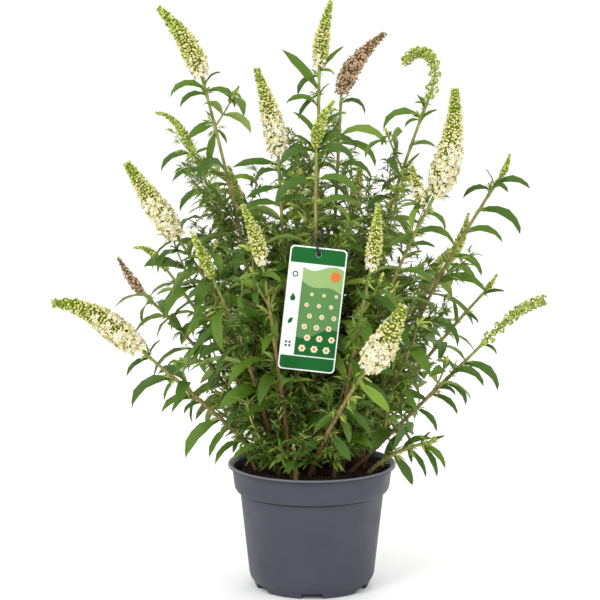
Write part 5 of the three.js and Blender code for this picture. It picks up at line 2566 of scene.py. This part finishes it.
    def rosette(self, axis: Axis, distance: float, scale: float) -> None:
        """The young leaves that crowd at the tip of a shoot.

        Args:
            axis: The shoot's line.
            distance: Where along it the tip is.
            scale: The leaves' size.
        """
        rng = self.rng
        root, ahead = axis.at(distance), axis.ahead(distance)
        count = self.rosette_leaves
        ways = unit(ahead * 0.8 + rng.normal(0.0, 0.5, (count, 3)))
        lengths = self.rosette_length * scale * rng.uniform(0.5, 1.0, count)
        roots = np.repeat(root[None], count, axis=0) - ahead * rng.uniform(0.0, 5.0, (count, 1))
        deal = self.narrow[Tint.FRESH]
        droop = self.rosette_droop
        self.deal_blades(deal, NARROW, roots, ways, lengths, 0.2 * lengths, droop, 0.8)

    def twig(self, cane: Cane, distance: float, angle: float, length: float) -> None:
        """A thin side twig, close-set with pairs of sprigs.

        Args:
            cane: The cane.
            distance: Where along it the twig springs.
            angle: Radians round it.
            length: The twig's length.
        """
        rng = self.rng
        start = cane.outward(distance, angle, self.twig_rise)
        end = unit(cane.ahead(distance) + 0.35 * start + rng.normal(0.0, 0.12, 3))
        line = self.bent(cane.at(distance), start, end, length)
        if not (self.allowed(line[3:]) & self.in_funnel(line[3:])).all():
            return
        self.twig_lines.add(line, np.linspace(1.1, 0.5, len(line)), 0.7)
        axis = Axis(line, math.degrees(math.atan2(start[1], start[0])))
        # twigs that end low take deeper tints: painted shade
        tint = self.tint(0.3 + 0.5 * smooth(250.0, 450.0, line[-1, 2]))
        quarter, distance, (longest, shorter) = 0, 9.0, self.twig_sprig
        while distance < length:
            share = distance / length
            angle = math.pi / 4 + math.pi / 2 * quarter + rng.uniform(-0.4, 0.4)
            for half in (0.0, math.pi):
                out = axis.outward(distance, angle + half, self.sprig_rise)
                size = longest - shorter * share
                self.sprig(axis.at(distance), axis.ahead(distance), out, size, tint)
            quarter += 1
            distance += self.twig_spacing * rng.uniform(*self.step_spread)

    def side_bud(self, bud: SideBud) -> None:
        """A placed side shoot with leaf pairs and a small spike of buds at its end.

        Args:
            bud: Its place and size.
        """
        cane = next(cane for cane in self.canes if cane.name == bud.cane)
        distance = bud.share * cane.stem_length
        run = np.array(bud.run)
        length = float(np.linalg.norm(run))
        along, aside = cane.ahead(distance) * np.sign(run[2]), unit(run * FLAT)
        start = unit(unit(run) + 0.55 * along + 0.4 * aside)
        line = self.bent(cane.at(distance), start, unit(run + UP * 0.5 * length), length)
        axis, count = Axis(line, math.degrees(math.atan2(run[1], run[0]))), len(line)
        self.bough_lines.add(line, np.linspace(1.3, 0.9, count), np.linspace(0.75, 1.0, count))
        foot = length - bud.spike
        largest, smaller = self.side_scale
        for number, share in enumerate(self.side_pairs):
            scale = largest - smaller * number
            self.pair(axis, foot * share, math.pi / 4 + number * math.pi / 2, scale, None)
        self.spikes.grow(axis, foot, bud.spike, bud.girth, bud.bloom)

    def leading(self, cane: Cane) -> None:
        """The leading leaves of a cane, each with a small sprig in its axil.

        Args:
            cane: The cane.
        """
        rows = np.array(LEADING[cane.name], float)
        shares, aims, lengths, droops, widths = rows.T
        aims = np.radians(aims)
        nearer = self.rng.uniform(*self.nearer, len(rows))
        flat = (widths > self.broad) & (droops < self.shallow)
        roll = np.where(flat, self.rolls[1], self.rolls[0]) * -np.sign(np.cos(aims))
        ways = unit(np.stack([np.cos(aims), nearer, np.sin(aims)], axis=1))
        roots = cane.at(shares * cane.stem_length)
        for tint, chosen in self.dealt_tints(len(rows)):
            parts = (part[chosen] for part in (roots, ways, lengths, widths, droops, roll))
            self.deal_blades(self.leaves[tint], LEAVES, *parts, facing=True)
        for share, way in zip(shares, ways):
            distance = share * cane.stem_length
            self.sprig(cane.at(distance), cane.ahead(distance), way, self.axil, Tint.FRESH)
            self.knots[cane.name].append(distance)

    def shoot_pairs(self, cane: Cane) -> None:
        """The leaf pairs of a rim shoot, close-set towards its tip.

        Args:
            cane: The shoot.
        """
        for step, share in enumerate(self.shoot_shares):
            distance = share * cane.stem_length
            angles = math.pi / 2 * step + np.array([0.0, math.pi])
            ways = np.array([cane.outward(distance, angle, self.shoot_rise) for angle in angles])
            roots = np.repeat(cane.at(distance)[None], 2, axis=0)
            lengths = self.leaf_length * self.shoot_scale * self.rng.uniform(0.85, 1.1, 2)
            widths = 0.3 * lengths
            deal = self.leaves[Tint.DEEP if step else Tint.MID]
            self.deal_blades(deal, LEAVES, roots, ways, lengths, widths, self.shoot_droop, 0.3)
            self.knots[cane.name].append(distance)

    def dealt_tints(self, count: int) -> list[tuple[Tint, Array]]:
        """Which of some leaves take each tint: mostly deep and middling.

        Args:
            count: How many leaves there are.

        Returns:
            Each tint with its leaves marked.
        """
        draw = self.rng.random(count)
        return [
            (Tint.DEEP, draw < self.deep_most),
            (Tint.MID, (draw >= self.deep_most) & (draw < self.mid_most)),
            (Tint.FRESH, draw >= self.mid_most),
        ]

    # ---- one cane

    def foliage(self, number: int, cane: Cane) -> None:
        """The leaf pairs, boughs and twigs of a cane.

        Args:
            number: Its place among the stems.
            cane: The cane.
        """
        rng = self.rng
        start = cane.bare_length + self.above_bare
        self.low_shoot = cane.is_shoot
        if cane.is_shoot:
            if cane.name in LEADING:
                self.leading(cane)
            else:
                self.shoot_pairs(cane)
            self.rosette(cane, cane.stem_length, 0.3)
            return
        end = cane.stem_length - 4.0
        if cane.name in LEADING:
            end = min(row[0] for row in LEADING[cane.name]) * cane.stem_length - 14.0
        self.knots[cane.name] = self.leafy(cane, start, end, 1.0, number)
        if cane.name in LEADING:
            self.leading(cane)
        for _ in range(self.boughs_each):
            distance = rng.uniform(8.0, self.bough_reach * cane.stem_length)
            angle, length = rng.uniform(0.0, math.tau), rng.uniform(*self.bough_lengths)
            self.bough(cane, distance, angle, length)
        for _ in range(self.low_twigs):
            distance = rng.uniform(5.0, self.low_twig_reach * cane.stem_length)
            angle, length = rng.uniform(0.0, math.tau), rng.uniform(*self.low_twig_lengths)
            self.twig(cane, distance, angle, length)
        for i in range(self.twigs_each):
            share = (i + rng.uniform(0.2, 0.8)) / self.twigs_each
            distance = cane.bare_length * 0.3 + share * 0.6 * cane.stem_length
            angle, length = rng.uniform(0.0, math.tau), rng.uniform(*self.twig_lengths)
            self.twig(cane, distance, angle, length)
        neck = cane.at(cane.stem_length)
        if neck[2] < self.tall or math.hypot(neck[0], neck[1]) > self.slim:
            return
        for _ in range(self.high_twigs):
            distance = rng.uniform(*self.high_twig_shares) * cane.stem_length
            angle, length = rng.uniform(0.0, math.tau), rng.uniform(*self.high_twig_lengths)
            self.twig(cane, distance, angle, length)

    # ---- pieces

    def swelling(self, cane: Cane, line: Array) -> Array:
        """How much a stem swells at its knots, and at the scars of old ones below them.

        Args:
            cane: The stem.
            line: Distances along it.

        Returns:
            A factor for its radius at each.
        """
        scars = np.arange(cane.bare_length - 20.0, 4.0, -self.scar_spacing)
        knots = np.concatenate([scars, self.knots[cane.name]])
        nearest = np.abs(line[:, None] - knots[None]).min(axis=1)
        return 1.0 + self.knot_swell * np.exp(-((nearest / self.knot_width) ** 2))

    def stem_pieces(self) -> None:
        """The woody canes, the leafy stems above them, the boughs and the twigs."""
        woody, green = Lines(), Lines()
        for cane in self.stems:
            end = cane.bare_length + 0.3 * cane.stem_length
            line = np.arange(-4.0, end, 2.6)
            start = cane.at(0.0) + cane.ahead(2.0) * np.minimum(line, 0.0)[:, None]
            points = np.where(line[:, None] < 0.0, start, cane.at(line))
            age = np.clip(line / cane.stem_length, 0.0, 1.0)
            above = np.arange(line[-1], cane.length - 1.0, 3.2)
            age_above = np.clip(above / cane.stem_length, 0.0, 1.0)
            if cane.is_shoot:
                age, age_above = 0.6 + 0.4 * age, 0.6 + 0.4 * age_above
            woody.add(points, cane.radius(line) * self.swelling(cane, line), age)
            thin = 1.0 - 0.75 * np.clip((above - cane.stem_length) / cane.spike, 0.0, 1.0)
            radii = cane.radius(above) * thin * self.swelling(cane, above)
            green.add(cane.at(above), radii, age_above)
        canes = [f"cane_{cane.name}" for cane in self.canes]
        piece = woody.grown("cane_bark", BARK, sides=10, relief=1.0)
        hand_over(piece, "bark", "rootstock", *canes)
        masses = self.masses()
        hand_over(green.grown("leafy_stems", BARK, sides=7, relief=0.5), "foliage", *masses)
        hand_over(self.bough_lines.grown("boughs", BARK, sides=6, relief=0.3), "foliage", *masses)
        hand_over(self.twig_lines.grown("side_twigs", TWIG, sides=4, relief=0.2), "foliage", *masses)

    def masses(self) -> list[str]:
        """The names of the foliage solids."""
        names = [f"foliage_{cane.name}" for cane in self.canes]
        return names + [f"shoot_{cane.name}" for cane in self.shoots]

    def blade_pieces(self) -> None:
        """The leaves, in a piece for each kind and tint."""
        faces = {Tint.DEEP: LEAF_DEEP, Tint.MID: LEAF_MID, Tint.FRESH: LEAF_FRESH}
        sprigs = {Tint.DEEP: SPRIG_DEEP, Tint.MID: SPRIG_MID, Tint.FRESH: SPRIG_FRESH}
        kinds = (
            ("leaves", self.leaves, LEAVES, faces),
            ("narrow_leaves", self.narrow, NARROW, sprigs),
            ("young_leaves", self.tiny, TINY, sprigs),
        )
        for name, deals, blades, finishes in kinds:
            templates = blades.collection()
            for tint, deal in deals.items():
                back = LEAF_BACK if blades is LEAVES else SPRIG_BACK
                piece = deal.dealt(f"{name}_{tint.value}", templates, finishes[tint], back)
                hand_over(piece, "foliage", *self.masses())

    def build(self) -> None:
        """Grows the whole crown and makes its pieces."""
        for number, cane in enumerate(self.stems):
            self.foliage(number, cane)
            start, length = cane.stem_length, cane.spike
            self.spikes.grow(cane, start, length, cane.girth, cane.bloom, cane.loose)
        for bud in SIDE_BUDS:
            self.side_bud(bud)
        self.stem_pieces()
        self.blade_pieces()
        self.spikes.build(self.masses())


# ---- pot and soil


@dataclass
class Pot:
    """The moulded nursery pot, in millimetres."""

    height: float = POT_TOP
    lip_radius: float = LIP_RADIUS
    sides: int = 144
    notches: int = 6
    notch_width: float = 24.0
    notch_height: float = 6.4
    drain_radius: float = 4.5
    drain_circle: float = 46.0
    # where the painted shade under the band and the lip, and the painted highlight on the lip's edge, go
    painted_shade_low: float = 112.0
    painted_shade_high: float = 115.2
    overhang: float = -0.35
    lip_painted_shade: float = 5.0
    painted_highlight_height: float = 1.4
    painted_highlight_width: float = 1.9

    def profile(self) -> list[Spot]:
        """The wall from the underside's centre, over the lip, to the floor's centre.

        Returns:
            The radius and height of every point.
        """
        lip, top = self.lip_radius, self.height
        return eased(
            [
                (0.0, 0.0, 0.0), (12.0, 0.0, 0.8), (12.6, 8.3, 0.8), (62.8, 8.3, 0.8), (63.2, 0.0, 0.5),
                (66.6, 0.0, 0.5), (69.6, 8.4, 0.3), (70.6, 8.8, 0.3), (71.8, 10.3, 1.2), (73.7, 15.0, 3.0),
                (84.4, 113.2, 0.4), (88.6, 114.9, 0.9), (91.0, 119.0, 1.8), (91.7, 124.0, 1.8),
                (lip - 4.8, top - 4.2, 0.5), (lip, top - 3.4, 0.9), (lip, top, 1.3), (lip - 3.4, top, 1.2),
                (lip - 7.2, top - 4.0, 1.2), (89.2, 123.2, 3.0), (86.8, 117.2, 2.0), (82.0, 113.2, 1.4),
                (71.3, 15.0, 2.0), (67.7, 11.0, 2.0), (0.0, 11.0, 0.0),
            ]
        )

    def cutters(self) -> Shape:
        """The notches in the foot ring and the drain holes.

        Returns:
            The closed shapes that are cut away.
        """
        cutters = Shape()
        half = self.notch_width / 2
        notch = rounded_box(-half, -4.0, half, self.notch_height, (0, 1.6, 1.6, 0))
        hole = disc(0.0, 0.0, self.drain_radius, 24)
        for i in range(self.notches):
            turn = Matrix.Rotation(math.tau * i / self.notches, 4, "Z")
            cutters.join(plate([notch], -76.0, -56.0).moved(turn))
            drain = plate([hole], 0.0, 16.0).moved(Matrix.Rotation(math.pi / 2, 4, "X"))
            out = Matrix.Translation((0.0, -self.drain_circle, 2.0))
            cutters.join(drain.moved(turn @ out))
        return cutters

    def painted_light(self, mesh: Mesh) -> None:
        """Gives painted shade to the down-facing faces under the lip and the band, and a painted highlight
        to the lip's top outer edge.

        Args:
            mesh: The pot's mesh, with its three materials.
        """
        for face in mesh.polygons:
            height, radius = face.center.z / MM, face.center.xy.length / MM
            under = face.normal.z < self.overhang and height > self.painted_shade_low
            if under and (height < self.painted_shade_high or height > self.height - self.lip_painted_shade):
                # painted shade under the band and the lip
                face.material_index = 1
            elif height > self.height - self.painted_highlight_height and radius > self.lip_radius - self.painted_highlight_width:
                # painted highlight on the lip's top outer edge
                face.material_index = 2

    def build(self) -> None:
        """Makes and dresses the pot."""
        wall = add_object("pot_wall", turned(self.profile(), self.sides).mesh("pot_wall"))
        cutter = add_object("pot_cutter", self.cutters().mesh("pot_cutter"))
        carve = wall.modifiers.new("notches", "BOOLEAN")
        carve.operation = "DIFFERENCE"
        carve.solver = "EXACT"
        carve.object = cutter
        piece = settled(wall, "pot_body")
        bpy.data.objects.remove(cutter)
        piece.data.materials.clear()
        for finish in (POT_PLASTIC, POT_PAINTED_SHADE, POT_PAINTED_HIGHLIGHT):
            piece.data.materials.append(finish.material())
        self.painted_light(piece.data)
        piece.data.set_sharp_from_angle(angle=math.radians(32.0))
        hand_over(piece, "pot", "pot")


@dataclass
class Soil:
    """The potting mix: a lumpy bed and the crumbs that lie on it."""

    radius: float = 90.0
    edge_drop: float = 3.0
    rings: int = 44
    sides: int = 120
    lump: float = 2.4
    lump_scale: float = 0.055
    depth: float = 20.0
    crumbs: tuple[tuple[str, float, float, float, Finish], ...] = (
        ("soil_crumbs_dark", 210000.0, 0.6, 1.7, CRUMB_DARK),
        ("soil_crumbs_brown", 70000.0, 0.4, 1.3, CRUMB_BROWN),
        ("soil_crumbs_pale", 9000.0, 0.4, 0.9, CRUMB_PALE),
    )

    def surface(self, x: float, y: float) -> float:
        """The height of the bed at a point.

        Args:
            x: The point's X.
            y: The point's Y.

        Returns:
            The height.
        """
        radius = math.hypot(x, y)
        spot = Vector((x, y, 0.0)) * self.lump_scale
        lumps = noise.fractal(spot, 0.8, 2.2, 4) * self.lump
        return SOIL_LEVEL - 0.6 + lumps - self.edge_drop * smooth(64.0, self.radius, radius)

    def bed(self) -> Shape:
        """The closed bed, lumpy on top.

        Returns:
            The closed shape.
        """
        levels = [(0.0, SOIL_LEVEL - self.depth), (self.radius - 4.0, SOIL_LEVEL - self.depth)]
        radii = [self.radius * (self.rings - i) / self.rings for i in range(self.rings)]
        profile = [*levels, *[(radius, SOIL_LEVEL) for radius in radii], (0.0, SOIL_LEVEL)]
        shape = turned(profile, self.sides)
        top = 1 + self.sides
        for i in range(top, len(shape.corners)):
            x, y, _ = shape.corners[i]
            shape.corners[i] = (x, y, self.surface(x, y))
        return shape

    def build(self) -> None:
        """Makes the bed and scatters the crumbs."""
        piece = add_object("soil_bed", self.bed().mesh("soil_bed", crease=60.0))
        piece.data.materials.append(SOIL_DARK.material())
        templates = crumb_shapes()
        for seed, (name, density, least, most, finish) in enumerate(self.crumbs):
            top = add_object(f"{name}_top", self.top_only(piece.data))
            values = {
                "Templates": templates,
                "Density": density,
                "Smallest": least * MM,
                "Largest": most * MM,
                "Seed": seed + 1,
                "Finish": finish.material(),
            }
            hand_over(scattering().grown(top, name, values), "potting_mix", "potting_mix")
        hand_over(piece, "potting_mix", "potting_mix")

    def top_only(self, mesh: Mesh) -> Mesh:
        """A copy of the bed that keeps only its upper faces.

        Args:
            mesh: The bed's mesh.

        Returns:
            The new mesh.
        """
        limit = (self.radius - 3.0) * MM
        keep = [p for p in mesh.polygons if p.normal.z > 0.3 and p.center.xy.length < limit]
        used = sorted({i for p in keep for i in p.vertices})
        number = {old: new for new, old in enumerate(used)}
        top = bpy.data.meshes.new("soil_top")
        corners = [mesh.vertices[i].co[:] for i in used]
        top.from_pydata(corners, [], [[number[i] for i in p.vertices] for p in keep])
        return top


# ---- studio


@dataclass(frozen=True)
class Studio:
    """The pale floor, the soft light and the camera, in metres."""

    floor_radius: float = 60.0
    floor: Finish = Finish("floor", (252, 252, 252), (0.7, 0.8), depth=0.01, specular=0.2)
    camera_place: tuple[float, float, float] = (-0.014, -2.4, 0.69)
    camera_tilt: float = 8.32
    lens: float = 125.3
    sky: float = 1.1
    middle: tuple[float, float, float] = (0.0, 0.0, 0.32)

    def softbox(self, name: str, place_at: tuple[float, float, float], size: float, power: float) -> None:
        """A square light that faces the middle of the plant.

        Args:
            name: Its name.
            place_at: Where it stands, in metres.
            size: The length of its sides.
            power: Its power in watts.
        """
        lamp = bpy.data.lights.new(name, "AREA")
        lamp.shape = "SQUARE"
        lamp.size = size
        lamp.energy = power
        box = bpy.data.objects.new(name, lamp)
        box.location = place_at
        aim = Vector(self.middle) - Vector(place_at)
        box.rotation_euler = aim.to_track_quat("-Z", "Y").to_euler()
        bpy.context.scene.collection.objects.link(box)

    def camera(self) -> None:
        """The camera, in front of the plant and a little above it."""
        data = bpy.data.cameras.new("camera")
        data.lens = self.lens
        data.sensor_width = 36.0
        data.clip_end = 100.0
        camera = bpy.data.objects.new("camera", data)
        camera.location = self.camera_place
        camera.rotation_euler = (math.radians(90.0 - self.camera_tilt), 0.0, 0.0)
        bpy.context.scene.collection.objects.link(camera)
        bpy.context.scene.camera = camera

    def build(self) -> None:
        """Sets up floor, light and camera."""
        sides = 96
        ring = disc(0.0, 0.0, self.floor_radius, sides)
        mesh = bpy.data.meshes.new("floor")
        mesh.from_pydata([(x, y, 0.0) for x, y in ring], [], [tuple(range(sides))])
        floor = add_object("floor", mesh)
        mesh.materials.append(self.floor.material())
        floor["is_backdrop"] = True
        world = bpy.data.worlds.new("studio")
        world.use_nodes = True
        sky = world.node_tree.nodes["Background"]
        sky.inputs["Color"].default_value = (1.0, 1.0, 1.0, 1.0)
        sky.inputs["Strength"].default_value = self.sky
        bpy.context.scene.world = world
        self.softbox("key", (-1.6, -2.2, 2.3), 1.2, 34.0)
        self.softbox("fill", (2.0, -1.6, 1.5), 1.6, 9.0)
        self.softbox("rim", (0.6, 2.0, 2.2), 1.4, 14.0)
        bpy.context.scene.view_settings.view_transform = "Standard"
        self.camera()


# ---- assembly


def main() -> None:
    """Builds the plant, its pot and the studio."""
    logging.basicConfig(level=logging.INFO, format="%(name)s: %(message)s")
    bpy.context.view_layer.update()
    Studio().build()
    Pot().build()
    Soil().build()
    canes = [*front_canes(), *back_canes()]
    carrier = next(cane for cane in canes if cane.name == "bud_centre")
    label = Label(carrier)
    Crown(canes, rim_shoots(), label).build()
    label.build()


if __name__ == "__main__":
    main()
